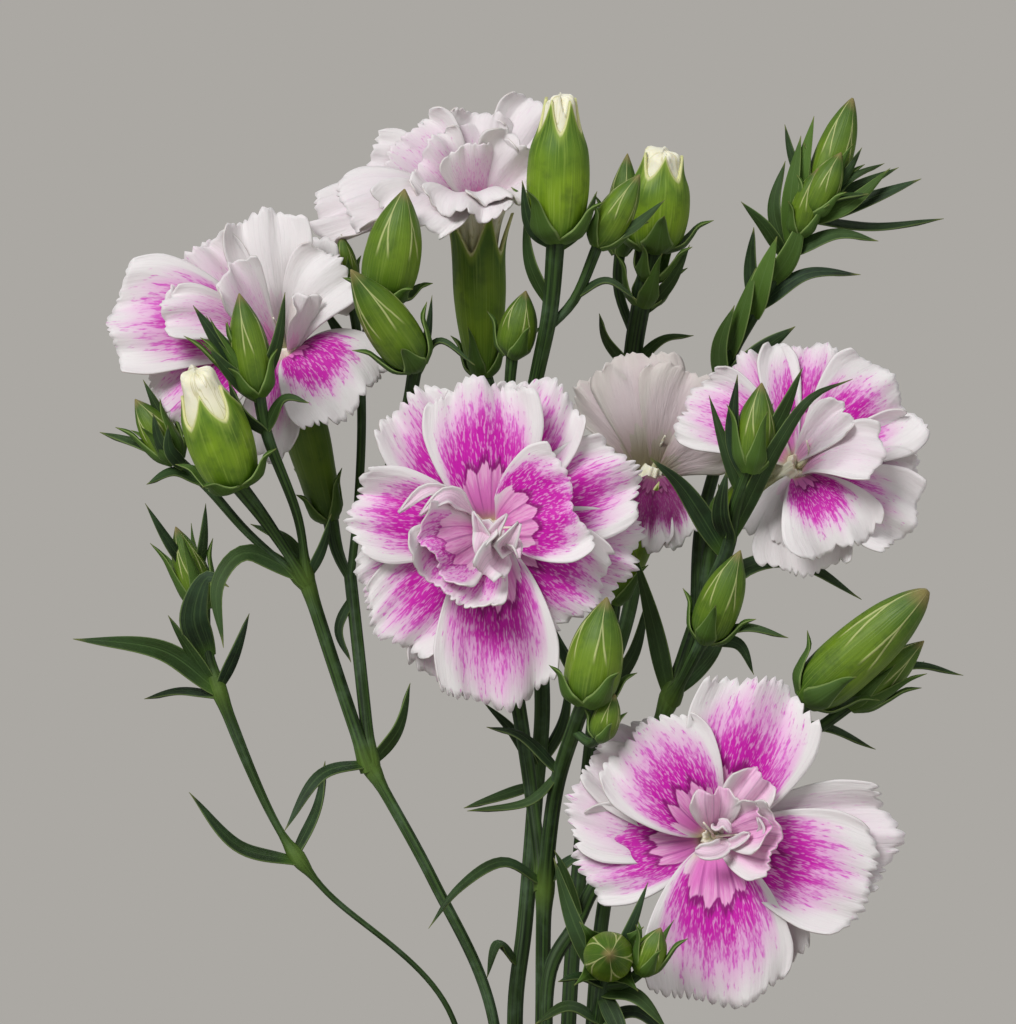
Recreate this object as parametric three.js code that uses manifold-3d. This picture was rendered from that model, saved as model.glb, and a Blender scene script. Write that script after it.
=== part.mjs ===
// A double pink (dianthus) in a plain nursery pot, in millimetres with +Z up. The origin is the
// centre of the pot's underside, and the side with the two big open flowers looks along -Y.

import * as THREE from "three";
import { mergeVertices } from "three/addons/utils/BufferGeometryUtils.js";
import Module from "manifold-3d";

const wasm = await Module();
wasm.setup();

// Pot and soil
const potHeight = 108;
const potTopRadius = 54;
const potBaseRadius = 40;
const potWall = 2.4;
const rimHeight = 13;
const rimStep = 2.2;
const drainHoleRadius = 4;
const drainHoleRing = 24;
const soilTop = 100;
const seatGap = 0.35; // between any two pieces that touch

// Plant
const rootDepth = 14; // how far a stem stands in the soil
const petalThickness = 0.6;
const leafThickness = 0.9;
const clawLength = 7; // how far the petals' claws show above the mouth of the calyx
const toothDepth = 1.1; // notches in a petal's margin
const toothCount = 4;
const mergeSize = 0.2;

const colours = {
  pot: 0x8f4f38,
  soil: 0x3b2a20,
  stem: 0x3f5f45,
  petal: 0xe9c3e0,
  bud: 0xe9e4bd,
};

const point = (x, y, z) => new THREE.Vector3(x, y, z);
const points = (list) => list.map(([x, y, z]) => point(x, y, z));

// ---- solids -------------------------------------------------------------------------------

function solidFrom(geometry) {
  geometry.deleteAttribute("normal");
  geometry.deleteAttribute("uv");
  const merged = mergeVertices(geometry, 1e-4);
  return new wasm.Manifold(new wasm.Mesh({
    numProp: 3,
    vertProperties: new Float32Array(merged.attributes.position.array),
    triVerts: new Uint32Array(merged.index.array),
  }));
}

function geometryFrom(solid) {
  const mesh = solid.getMesh();
  const geometry = new THREE.BufferGeometry();
  geometry.setAttribute("position", new THREE.BufferAttribute(mesh.vertProperties, 3));
  geometry.setIndex(new THREE.BufferAttribute(mesh.triVerts, 1));
  geometry.computeVertexNormals();
  return geometry;
}

// Joins pieces into one body. Pockets that the joint seals are filled, and splinters smaller than
// the merge size are closed up.
function fuse(solids) {
  const whole = solids.reduce((joined, next) => joined.add(next)).asOriginal().simplify(mergeSize);
  return whole.decompose().sort((one, other) => other.volume() - one.volume())[0];
}

function solidFromTriangles(vertices, triangles) {
  const geometry = new THREE.BufferGeometry();
  const flat = vertices.flatMap((vertex) => [vertex.x, vertex.y, vertex.z]);
  geometry.setAttribute("position", new THREE.Float32BufferAttribute(flat, 3));
  geometry.setIndex(triangles.flat());
  return solidFrom(geometry);
}

// Closed skin over rings of points; every ring turns the same way, and the last may be one point.
function loft(rings) {
  const vertices = rings.flat();
  const triangles = [];
  const sides = rings[0].length;
  for (let side = 1; side < sides - 1; side++) {
    triangles.push([0, side + 1, side]);
  }
  let start = 0;
  for (let ring = 1; ring < rings.length; ring++) {
    const next = start + sides;
    for (let side = 0; side < sides; side++) {
      const a = start + side;
      const b = start + (side + 1) % sides;
      if (rings[ring].length === 1) {
        triangles.push([a, b, next]);
      } else {
        const c = next + side;
        const d = next + (side + 1) % sides;
        triangles.push([a, b, d], [a, d, c]);
      }
    }
    start = next;
  }
  if (rings[rings.length - 1].length > 1) {
    for (let side = 1; side < sides - 1; side++) {
      triangles.push([start, start + side, start + side + 1]);
    }
  }
  return solidFromTriangles(vertices, triangles);
}

function ringAround(centre, across, along, radius, sides) {
  return Array.from({ length: sides }, (_, side) => {
    const turn = (2 * Math.PI * side) / sides;
    return centre.clone()
      .addScaledVector(across, radius * Math.cos(turn))
      .addScaledVector(along, radius * Math.sin(turn));
  });
}

// Two directions square to an axis, so that across x along = axis.
function frameOf(axis) {
  const hint = Math.abs(axis.z) > 0.9 ? point(1, 0, 0) : point(0, 0, 1);
  const across = hint.clone().cross(axis).normalize();
  return { across, along: axis.clone().cross(across) };
}

// Round body on a straight axis: outline gives [share of the length, radius], and a radius of
// zero closes it in a point.
function turned(base, tip, outline, sides) {
  const axis = tip.clone().sub(base);
  const { across, along } = frameOf(axis.clone().normalize());
  return loft(outline.map(([share, radius]) => {
    const centre = base.clone().addScaledVector(axis, share);
    return radius === 0 ? [centre] : ringAround(centre, across, along, radius, sides);
  }));
}

// ---- green parts --------------------------------------------------------------------------

// Stem through the listed points, thinning from one radius to the other.
function stem(route, startRadius, endRadius, stepLength = 13, sides = 5) {
  const curve = new THREE.CatmullRomCurve3(points(route), false, "centripetal");
  const steps = Math.max(2, Math.round(curve.getLength() / stepLength));
  const frames = curve.computeFrenetFrames(steps);
  const rings = frames.tangents.map((_, step) => {
    const radius = THREE.MathUtils.lerp(startRadius, endRadius, step / steps);
    const centre = curve.getPointAt(step / steps);
    return ringAround(centre, frames.normals[step], frames.binormals[step], radius, sides);
  });
  return loft(rings);
}

// Stem that stands in the soil: it starts below the surface and passes the rest of the points.
function rootedStem(root, route, startRadius, endRadius) {
  const [x, y] = root;
  const foot = [[x, y, soilTop - rootDepth], [x, y, soilTop]];
  return stem([...foot, ...route], startRadius, endRadius, 12);
}

// Swelling where a pair of leaves stands.
function knot(centre, radius) {
  const middle = point(...centre);
  const reach = point(0, 0, radius * 1.1);
  const outline = [[0, radius * 0.6], [0.5, radius], [1, radius * 0.6]];
  return turned(middle.clone().sub(reach), middle.clone().add(reach), outline, 5);
}

const leafOutline = [[0, 0.6], [0.3, 1], [0.65, 0.85]];
const scaleOutline = [[0, 0.8], [0.5, 1]];

// Narrow keeled leaf along a path: its flat side faces one way, a keel runs along the other,
// and it widens, then runs to a point.
function leaf(route, width, facing = [0, -0.7, 0.7], outline = leafOutline) {
  const curve = new THREE.CatmullRomCurve3(points(route), false, "centripetal");
  const face = point(...facing);
  const rings = outline.map(([share, fullness]) => {
    const centre = curve.getPointAt(share);
    const tangent = curve.getTangentAt(share);
    const across = tangent.clone().cross(face).normalize();
    const normal = across.clone().cross(tangent);
    const half = (width * fullness) / 2;
    return [
      centre.clone().addScaledVector(across, half),
      centre.clone().addScaledVector(normal, -leafThickness),
      centre.clone().addScaledVector(across, -half),
    ];
  });
  return loft([...rings, [curve.getPointAt(1)]]);
}

// Pointed scales around the foot of a bud or calyx, lying against it and springing out at the tip.
function bracts(base, axis, radius, length, count, turn = 0) {
  const { across, along } = frameOf(axis);
  return Array.from({ length: count }, (_, index) => {
    const angle = turn + (2 * Math.PI * index) / count;
    const out = across.clone().multiplyScalar(Math.cos(angle))
      .addScaledVector(along, Math.sin(angle));
    const reach = length * (index % 2 ? 0.8 : 1);
    const at = (share, distance) => base.clone()
      .addScaledVector(axis, reach * share)
      .addScaledVector(out, distance);
    const route = [at(0.08, radius * 0.55), at(0.45, radius * 1.2), at(1, radius * 1.4)];
    return leaf(route.map((place) => place.toArray()), radius * 1.15, out.toArray(), scaleOutline);
  });
}

const budOutline = [[0, 0.42], [0.27, 1], [0.66, 0.82], [1, 0]];

// Closed green bud with its bracts.
function bud(baseList, tipList, radius, bractLength, bractCount, turn) {
  const base = point(...baseList);
  const tip = point(...tipList);
  const axis = tip.clone().sub(base).normalize();
  const outline = budOutline.map(([share, fullness]) => [share, fullness * radius]);
  const body = turned(base, tip, outline, 6);
  return fuse([body, ...bracts(base, axis, radius, bractLength, bractCount, turn)]);
}

const openBudOutline = [[0, 0.42], [0.12, 0.82], [0.4, 1], [0.8, 0.8]];

// Green cup of an opening bud: closed below, with five teeth that lie over the petals' tip.
function openingBud({ base: baseList, tip: tipList, radius, bractLength, turn = 0.3 }) {
  const base = point(...baseList);
  const tip = point(...tipList);
  const axis = tip.clone().sub(base).normalize();
  const outside = openBudOutline.map(([share, fullness]) => [share, fullness * radius]);
  const wall = 0.75;
  const cup = turned(base, tip, outside, 8).subtract(turned(base, tip, [
    [0.5, 0.95 * radius - wall],
    [0.84, 0.78 * radius - wall],
  ], 8));
  const { across, along } = frameOf(axis);
  const length = tip.distanceTo(base);
  const teeth = Array.from({ length: 5 }, (_, index) => {
    const angle = turn + (2 * Math.PI * index) / 5;
    const out = across.clone().multiplyScalar(Math.cos(angle))
      .addScaledVector(along, Math.sin(angle));
    const at = (share, distance) => base.clone()
      .addScaledVector(axis, length * share)
      .addScaledVector(out, distance).toArray();
    const route = [at(0.66, radius * 0.92), at(0.8, radius * 0.8), at(0.95, radius * 0.62)];
    return leaf(route, radius * 0.85, out.toArray(), scaleOutline);
  });
  return fuse([cup, ...teeth, ...bracts(base, axis, radius, bractLength, 4, turn)]);
}

// Rolled petals that fill the opening bud's cup and show as its pale tip.
function budTip({ base, tip, radius }) {
  const inside = radius - 0.75 - seatGap;
  const outline = [
    [0.53, inside * 0.9],
    [0.82, 0.78 * radius - 0.75 - seatGap],
    [0.93, 0.42 * radius],
    [1, 0.24 * radius],
  ];
  return turned(point(...base), point(...tip), outline, 8);
}

// Calyx of an open flower: a slender cup from its base to its mouth, with five teeth and bracts.
function calyx({ base: baseList, throat: throatList, mouthRadius = 3.5, claw = clawLength, turn }) {
  const base = point(...baseList);
  const throat = point(...throatList);
  const axis = throat.clone().sub(base).normalize();
  const mouth = throat.clone().addScaledVector(axis, -claw);
  const wall = 0.8;
  const outside = [[0, 1.6], [0.14, 2.7], [0.55, mouthRadius * 0.96], [1, mouthRadius]];
  const inside = [[0.6, mouthRadius * 0.96 - wall], [1.04, mouthRadius - wall]];
  const cup = turned(base, mouth, outside, 8).subtract(turned(base, mouth, inside, 8));
  const { across, along } = frameOf(axis);
  const teeth = Array.from({ length: 5 }, (_, index) => {
    const angle = turn + (2 * Math.PI * index) / 5;
    const out = across.clone().multiplyScalar(Math.cos(angle))
      .addScaledVector(along, Math.sin(angle));
    const at = (height, distance) => mouth.clone()
      .addScaledVector(axis, height)
      .addScaledVector(out, distance).toArray();
    const route = [
      at(-2, mouthRadius + 0.1),
      at(0.2 * claw, mouthRadius + 0.4),
      at(claw - 3, mouthRadius + 0.9),
    ];
    return leaf(route, 3.6, out.toArray(), scaleOutline);
  });
  return fuse([cup, ...teeth, ...bracts(base, axis, 2.8, 8, 3, turn + 0.5)]);
}

// ---- petals -------------------------------------------------------------------------------

// Triangles between two rows of points with different counts.
function stitch(firstStart, firstCount, nextStart, nextCount) {
  const triangles = [];
  let i = 0;
  let j = 0;
  while (i < firstCount - 1 || j < nextCount - 1) {
    const firstShare = (i + 1) / (firstCount - 1);
    const nextShare = (j + 1) / (nextCount - 1);
    if (firstShare <= nextShare && i < firstCount - 1) {
      triangles.push([firstStart + i, firstStart + i + 1, nextStart + j]);
      i++;
    } else {
      triangles.push([firstStart + i, nextStart + j + 1, nextStart + j]);
      j++;
    }
  }
  return triangles;
}

// Thin sheet from rows of { place, normal }: both faces are split alike, and a wall joins them.
function sheet(rows, thickness) {
  const spots = rows.flat();
  const total = spots.length;
  const lifted = (amount) => spots.map(({ place, normal }) =>
    place.clone().addScaledVector(normal, amount));
  const vertices = [...lifted(thickness / 2), ...lifted(-thickness / 2)];
  const starts = rows.map((_, row) => rows.slice(0, row).flat().length);
  const faces = rows.slice(1).flatMap((row, index) =>
    stitch(starts[index], rows[index].length, starts[index + 1], row.length));
  const front = faces.map(([a, b, c]) => [a, c, b]);
  const back = faces.map(([a, b, c]) => [a + total, b + total, c + total]);
  const last = rows.length - 1;
  const border = [
    ...rows[0].map((_, index) => index),
    ...starts.slice(1, last).map((start, index) => start + rows[index + 1].length - 1),
    ...rows[last].map((_, index) => starts[last] + index).reverse(),
    ...starts.slice(1, last).reverse(),
  ];
  const walls = border.flatMap((spot, index) => {
    const next = border[(index + 1) % border.length];
    return [[spot, next, next + total], [spot, next + total, spot + total]];
  });
  return solidFromTriangles(vertices, [...front, ...back, ...walls]);
}

// One petal: it leaves the throat along the flower's axis, bends over to its tip and spreads
// from a narrow claw to a rounded, toothed and waved margin.
function petal(throat, axis, { tip, width, cup = 1.2, wave = 0.7, phase = 0, lift = 5, below = 0 }) {
  const end = point(...tip);
  const away = end.clone().sub(throat);
  const radial = away.clone().addScaledVector(axis, -away.dot(axis));
  const reach = radial.length();
  radial.normalize();
  const side = axis.clone().cross(radial);
  const root = throat.clone().addScaledVector(radial, 1.1).addScaledVector(axis, -1.5 - below);
  const bend = throat.clone().addScaledVector(axis, lift - below)
    .addScaledVector(radial, reach * 0.22);
  const middle = new THREE.QuadraticBezierCurve3(root, bend, end);
  const surface = (u, v) => {
    const along = v * (1 - 0.13 * u * u * v);
    const centre = middle.getPoint(along);
    const normal = middle.getTangent(along).cross(side);
    const spread = v < 0.8 ? v / 0.8 : 1 - 2 * (v - 0.8) ** 2;
    const half = (width / 2) * (0.11 + 0.89 * spread);
    const ripple = wave * v * v * Math.sin(5.2 * u + phase) + cup * v * (u * u - 0.3);
    return centre.addScaledVector(side, half * u).addScaledVector(normal, ripple);
  };
  const spot = (u, v, notch) => {
    const place = surface(u, v);
    const inward = surface(u, v - 0.08);
    const wide = surface(u + 0.05, v).sub(surface(u - 0.05, v));
    const normal = place.clone().sub(inward).cross(wide).normalize();
    const back = inward.sub(place).normalize();
    return { place: place.addScaledVector(back, notch), normal };
  };
  const row = (v, count, notched) => Array.from({ length: count }, (_, index) => {
    const u = (2 * index) / (count - 1) - 1;
    return spot(u, v, notched && index % 2 === 0 ? toothDepth : 0);
  });
  const small = width < 12 || below > 0;
  const teeth = small ? toothCount - 1 : toothCount;
  const rows = [row(0, 2), row(0.5, small ? 3 : 4), row(1, 2 * teeth + 1, true)];
  return sheet(rows, petalThickness);
}

// Pale curved style in the middle of a flower.
function style(throat, axis, lean, length) {
  const route = [
    throat.clone().addScaledVector(axis, -1),
    throat.clone().addScaledVector(axis, length * 0.6).addScaledVector(lean, length * 0.15),
    throat.clone().addScaledVector(axis, length).addScaledVector(lean, length * 0.6),
  ];
  return stem(route.map((place) => place.toArray()), 0.75, 0.5, length / 3, 5);
}

// All petals of a flower on the plug of claws that stands in its calyx, with its two styles.
function flower({ base: baseList, throat: throatList, mouthRadius = 3.5, claw = clawLength, petals }) {
  const throat = point(...throatList);
  const base = point(...baseList);
  const axis = throat.clone().sub(base).normalize();
  const { across, along } = frameOf(axis);
  const mouth = throat.clone().addScaledVector(axis, -claw);
  const depth = mouth.distanceTo(base) * 0.4 - seatGap;
  const foot = mouth.clone().addScaledVector(axis, -depth);
  const clawRadius = mouthRadius * 0.94 - 0.8 - seatGap;
  const outline = [[0, clawRadius * 0.97], [0.75, clawRadius], [0.9, 2.9], [1, 2.2]];
  const claws = turned(foot, throat, outline, 8);
  const styles = [
    style(throat, axis, across, 5.5),
    style(throat, axis, across.clone().multiplyScalar(-0.7).addScaledVector(along, 0.7), 4.5),
  ];
  return fuse([claws, ...styles, ...petals.map((form) => petal(throat, axis, form))]);
}

// ---- flowers and buds: places in millimetres --------------------------------------------------

const flowers = {
  flower_front: {
    throat: [-6, -18, 207], base: [-6, 5, 205],
    petals: [
      { tip: [-7.5, -19, 230.1], width: 17, phase: 0.5 },
      { tip: [3.4, -15.5, 229.8], width: 15, phase: 1.5, lift: 4, below: 2.5 },
      { tip: [-18.8, -15, 227.7], width: 15, phase: 2.5, lift: 4, below: 2.5 },
      { tip: [-27.6, -19.5, 210.8], width: 13.5, phase: 0 },
      { tip: [-22.5, -18, 190.5], width: 15, phase: 2 },
      { tip: [-25.5, -14.5, 196.5], width: 14, phase: 3, lift: 4, below: 2.5 },
      { tip: [-4.5, -20, 179.9], width: 18.5, phase: 0.8 },
      { tip: [-12, -15.5, 182.5], width: 16, phase: 1.9, lift: 4, below: 2.5 },
      { tip: [10.9, -18, 196.2], width: 15, phase: 2.2 },
      { tip: [16.6, -15.5, 216], width: 15.5, phase: 0.3, lift: 4, below: 2.5 },
      { tip: [15.9, -14, 200.7], width: 15, phase: 1.3, lift: 4, below: 2.5 },
      { tip: [6.3, -24, 216.6], width: 13, phase: 2.8, cup: 2 },
      { tip: [-16.5, -24.5, 199], width: 15, phase: 0.2, cup: 2.4 },
      { tip: [-9, -25, 196.5], width: 11, phase: 1.2, cup: 2 },
      { tip: [-18.2, -23.5, 212.7], width: 4.5, phase: 1, wave: 0.2 },
    ],
  },
  flower_low: {
    throat: [27.1, -20, 161.7], base: [26, 1, 159.5],
    petals: [
      { tip: [35.2, -21, 185.9], width: 19, phase: 0.6 },
      { tip: [13.8, -22, 178.2], width: 17, phase: 1.7 },
      { tip: [5.4, -17, 168], width: 18, phase: 0.2, lift: 4, below: 2.5 },
      { tip: [9.3, -16, 176.2], width: 15, phase: 2.1, lift: 4, below: 2.5 },
      { tip: [7.8, -17.5, 154.5], width: 15, phase: 1.1, lift: 4, below: 2 },
      { tip: [27.6, -22, 136.1], width: 22, phase: 0 },
      { tip: [34, -17.5, 138.5], width: 19, phase: 2.4, lift: 4, below: 2.5 },
      { tip: [54, -21, 159], width: 17, phase: 0.9 },
      { tip: [55.4, -17, 161.5], width: 17, phase: 2, lift: 4, below: 2.5 },
      { tip: [31.8, -26, 171], width: 9, phase: 0.4, cup: 2 },
      { tip: [36.9, -26, 162.6], width: 9, phase: 1.4, cup: 2 },
      { tip: [22, -25.5, 166.5], width: 7, phase: 2.3, cup: 1.5 },
    ],
  },
  flower_left: {
    throat: [-37, -2, 234.8], base: [-30.3, 8, 208.5],
    petals: [
      { tip: [-62.7, -6, 238.5], width: 20, phase: 0.4 },
      { tip: [-53.7, -8, 223.8], width: 16, phase: 1.6 },
      { tip: [-54.8, 3, 247.2], width: 18, phase: 2.5 },
      { tip: [-44.2, 7, 254.4], width: 18, phase: 0.9, cup: 2 },
      { tip: [-35.5, 6, 255.3], width: 16, phase: 1.9, cup: 2 },
      { tip: [-27.8, -1, 247], width: 16, phase: 0.1 },
      { tip: [-27.5, -7, 223.5], width: 19, phase: 1.2 },
      { tip: [-39.3, -7, 211.5], width: 9, phase: 2.2 },
      { tip: [-49.8, -9, 239.5], width: 12, phase: 0.7, cup: 2 },
      { tip: [-30.5, -9, 239.5], width: 9, phase: 1.5, cup: 2 },
    ],
  },
  flower_top: {
    throat: [-8, 12, 252], base: [-7.2, 14, 230.1], mouthRadius: 3.7, claw: 9,
    petals: [
      { tip: [-32.7, 14, 253.5], width: 15, phase: 0.3 },
      { tip: [-25, 4, 262.5], width: 16, phase: 2.3, lift: 8 },
      { tip: [-17.5, 21, 267], width: 18, phase: 0.8, lift: 8 },
      { tip: [-8, 24, 269.5], width: 18, phase: 1.8, lift: 8 },
      { tip: [2.5, 17, 272], width: 16, phase: 2.8, lift: 10 },
      { tip: [-1.5, 6, 263], width: 12, phase: 0.1, lift: 8 },
      { tip: [-19, 2, 250.5], width: 14, phase: 1.1 },
      { tip: [-13, 2, 261.5], width: 13, phase: 2.1, lift: 9 },
      { tip: [-9, -5, 253.5], width: 12, phase: 1.6 },
    ],
  },
  flower_right: {
    throat: [40.5, -6, 216.8], base: [28.5, 9, 208.5],
    petals: [
      { tip: [22.5, -3, 226.5], width: 14, phase: 0.5 },
      { tip: [33.5, 2, 234.8], width: 15, phase: 1.5 },
      { tip: [43, 1, 235.2], width: 14, phase: 2.5 },
      { tip: [53.5, -2, 231], width: 19, phase: 0.2 },
      { tip: [58, -4, 218.5], width: 12, phase: 1.2 },
      { tip: [56.5, -8, 206], width: 14, phase: 2.2 },
      { tip: [43.5, -14, 200.5], width: 16, phase: 0.9 },
      { tip: [37.5, -9, 202.5], width: 15, phase: 1.9, lift: 4, below: 2.5 },
      { tip: [46.5, -8.5, 199.5], width: 15, phase: 2.9, lift: 4, below: 2.5 },
      { tip: [51, -14.5, 219.5], width: 10, phase: 0.4, cup: 2 },
      { tip: [43.5, -14, 226], width: 9, phase: 1.4, cup: 2 },
    ],
  },
  flower_back: {
    throat: [18.8, 8, 216.8], base: [12.5, 13, 196],
    petals: [
      { tip: [8.2, 9, 231], width: 14, phase: 0.7 },
      { tip: [15.3, 7, 234], width: 15, phase: 1.7 },
      { tip: [25, 7, 231], width: 15, phase: 2.7 },
      { tip: [28.5, 4, 218], width: 11, phase: 0.2 },
      { tip: [16.5, 0, 203.5], width: 8.5, phase: 1.2 },
      { tip: [22.3, 1, 203.5], width: 8, phase: 2.2 },
      { tip: [20, 14, 231], width: 13, phase: 0.9 },
    ],
  },
};

const openingBuds = {
  bud_tip_middle: { base: [3.9, -2, 250.2], tip: [4.6, -7, 272.1], radius: 4.7, bractLength: 9 },
  bud_tip_back: { base: [18.8, 21, 249.4], tip: [20.4, 18, 265], radius: 4.9, bractLength: 7 },
  bud_tip_left: { base: [-43.5, -16, 213.4], tip: [-49.5, -22, 230.9], radius: 4.9, bractLength: 5 },
};

// Where each stem stands in the soil, and its radius there.
const roots = {
  left: { place: [-7.5, 6], radius: 1.2 },
  branched: { place: [-4.5, -6], radius: 1.3 },
  middle: { place: [-1, 8.5], radius: 1.6 },
  front: { place: [1.5, -1], radius: 1.4 },
  low: { place: [4.5, -8.5], radius: 1.1 },
  back: { place: [5.5, 12], radius: 1.4 },
  right: { place: [9, 4], radius: 1.5 },
  short: { place: [11, -13], radius: 1.2 },
};

// ---- leafy stems ------------------------------------------------------------------------------

function leftStem() {
  const { place, radius } = roots.left;
  return fuse([
    rootedStem(place, [
      [-12.3, 6, 134.8], [-31.3, 5, 153.2], [-37.6, 4, 161.7], [-45, 4, 178.2], [-48.6, 4, 189],
      [-49, 3, 197],
    ], radius, 0.9),
    knot([-35.2, 4.4, 157.6], 1.8),
    knot([-47.2, 4, 183], 1.8),
    leaf([[-35.2, 4.4, 157], [-43.8, 2, 159.3], [-51.1, -1, 167.7]], 2.8),
    leaf([[-35.5, 4.4, 157.5], [-32, 8, 165], [-31, 12, 172]], 2.6, [-0.7, -0.7, 0]),
    leaf([[-47.4, 4, 183], [-55, 1, 188.6], [-68.4, -3, 190.7]], 3.8, [0, -0.8, 0.5]),
    leaf([[-47.2, 4, 182], [-53, 6, 182.6], [-58.2, 7, 181.5]], 1.8),
    leaf([[-47.6, 4, 184], [-51, 2, 189], [-54.3, 0, 194.2]], 2.2, [-0.5, -0.8, 0]),
    leaf([[-47, 4, 183], [-44.4, 2, 188.5], [-42.1, 0, 194.5]], 2.2, [0.5, -0.8, 0]),
    leaf([[-48.6, 4, 188], [-50.4, 0, 194], [-48, -4, 200], [-45, -5, 198.5]], 4.6, [0, -1, 0.2]),
    bud([-49, 3, 195], [-53.2, 1, 207.5], 2.7, 8.5, 3, 0.2),
    leaf([[-49.5, 3, 199], [-53.5, 0, 204], [-57.6, -3, 211]], 2, [0, -0.9, 0.4]),
    leaf([[-50, 3, 200], [-49, 0, 206], [-48.6, -1, 211]], 1.8, [0.4, -0.9, 0]),
  ]);
}

function branchedStem() {
  const { place, radius } = roots.branched;
  return fuse([
    rootedStem(place, [[-5.7, -5, 134.8], [-14.5, -5, 154.7], [-24, -4, 171.9]], radius, 1.25),
    knot([-23.9, -4, 172], 2.1),
    leaf([[-24, -4, 172], [-31, -7, 170.4], [-36.6, -9, 162.2]], 2.6, [0, -0.6, 0.8]),
    leaf([[-24, -4, 172], [-20, -1, 177], [-18, 3, 184]], 2.4, [0.7, -0.7, 0]),
    // Branch that fans out to three buds
    stem([[-24, -4, 171], [-28.7, -5, 185], [-33.4, -6, 199.5]], 1.15, 1),
    knot([-33.4, -6, 199.8], 1.9),
    stem([[-33.2, -6, 199], [-39.4, -11, 208.5], [-43.5, -16, 214]], 0.9, 1.6),
    stem([[-33.3, -6, 199], [-34.5, -9, 208.5], [-39.1, -14.5, 221.4], [-40.3, -17, 228]], 0.9, 1.2),
    stem([[-33.4, -6, 199], [-42, -7, 206.5], [-48.3, -8, 213.6], [-53, -9, 218]], 0.85, 1),
    openingBud(openingBuds.bud_tip_left),
    bud([-40.2, -16.8, 226.8], [-43, -19.5, 242], 3.4, 7, 4, 0.9),
    leaf([[-40, -16.8, 227], [-45, -18.5, 233.5], [-49.8, -19.5, 240.2]], 3.2, [-0.3, -0.9, 0.3]),
    leaf([[-40, -16.6, 226.4], [-44, -19.5, 230], [-47.5, -21.5, 234]], 2.6, [-0.3, -0.9, 0.3]),
    leaf([[-40, -17, 228], [-37.4, -19.6, 235], [-36.2, -20, 242.2]], 2.2, [0.4, -0.9, 0]),
    leaf([[-39.2, -14.6, 221.6], [-36.2, -18, 226.5], [-32.6, -20, 225.8]], 2, [0, -0.8, 0.6]),
    leaf([[-39.1, -14.5, 221.4], [-42.6, -18, 224.5], [-44.6, -20, 229]], 2.4, [-0.6, -0.8, 0]),
    bud([-52.5, -9, 217.2], [-58.8, -10, 226.5], 2.7, 8, 3, 0.6),
    leaf([[-52, -9, 217], [-58, -8, 219.6], [-64.2, -7, 221.6]], 2.6, [0, -0.6, 0.8]),
    leaf([[-52.6, -9, 218], [-54.6, -10, 223.5], [-57.6, -10, 229.4]], 2.2, [-0.3, -0.9, 0]),
    leaf([[-49, -8, 214], [-53, -9.5, 215.6], [-57, -12, 213.8]], 2.2),
    leaf([[-34, -6, 200], [-42.6, -8, 203.4], [-46.4, -10, 198.8], [-45.6, -11, 189.5]], 3.2,
      [-0.3, -0.8, 0.5]),
    leaf([[-33.2, -6, 200], [-31, -8, 204.5], [-29.6, -10, 209.4]], 1.8, [0.4, -0.9, 0]),
    leaf([[-33.4, -5, 200], [-37, -1, 205.5], [-42, 2, 207.9]], 3, [0, -0.7, 0.7]),
    // Branch to the open flower and the two upper buds
    stem([[-23.8, -4, 171.5], [-25.5, -2, 187], [-27, 2, 200]], 1.15, 1.05),
    leaf([[-26.6, 1, 197], [-28.6, -1, 192], [-26.8, -3, 187.2]], 1.8, [-0.5, -0.8, 0]),
    stem([[-27, 2, 199.5], [-29, 6, 203.7], [-30.3, 8, 209.5]], 1, 1.6),
    calyx({ ...flowers.flower_left, turn: 0.3 }),
    stem([[-27, 2, 199.5], [-25.8, 5, 212], [-25.4, 8, 225], [-26, 8, 236], [-27.4, 7, 244]], 1, 0.9),
    bud([-27.2, 7, 243], [-28.4, 5, 251.5], 1.8, 6, 3, 0.2),
    leaf([[-25.6, 8, 232], [-29.5, 7, 238], [-31.6, 4.5, 241.5]], 2, [-0.4, -0.9, 0]),
    stem([[-25.6, 8, 230], [-24.6, 3, 236], [-21.8, -5, 242.5]], 0.9, 1.5),
    bud([-21.8, -5, 241.2], [-18.7, -9, 257.8], 4.3, 4, 4, 0.5),
    stem([[-26.4, 4, 205], [-22, 3, 214], [-18.4, -2, 225], [-16.9, -9, 232.5]], 1, 1.4),
    bud([-16.7, -9, 231.2], [-26.6, -16, 245.6], 3.7, 8, 4, 1),
    leaf([[-17.6, -5, 229], [-15.4, -8, 236], [-14.6, -9, 242]], 1.7, [0.3, -0.9, 0]),
    leaf([[-17.5, -5, 229], [-13.6, -9, 235.2], [-8.2, -11, 231.5]], 1.4, [0.2, -0.7, 0.6]),
  ]);
}

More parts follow.
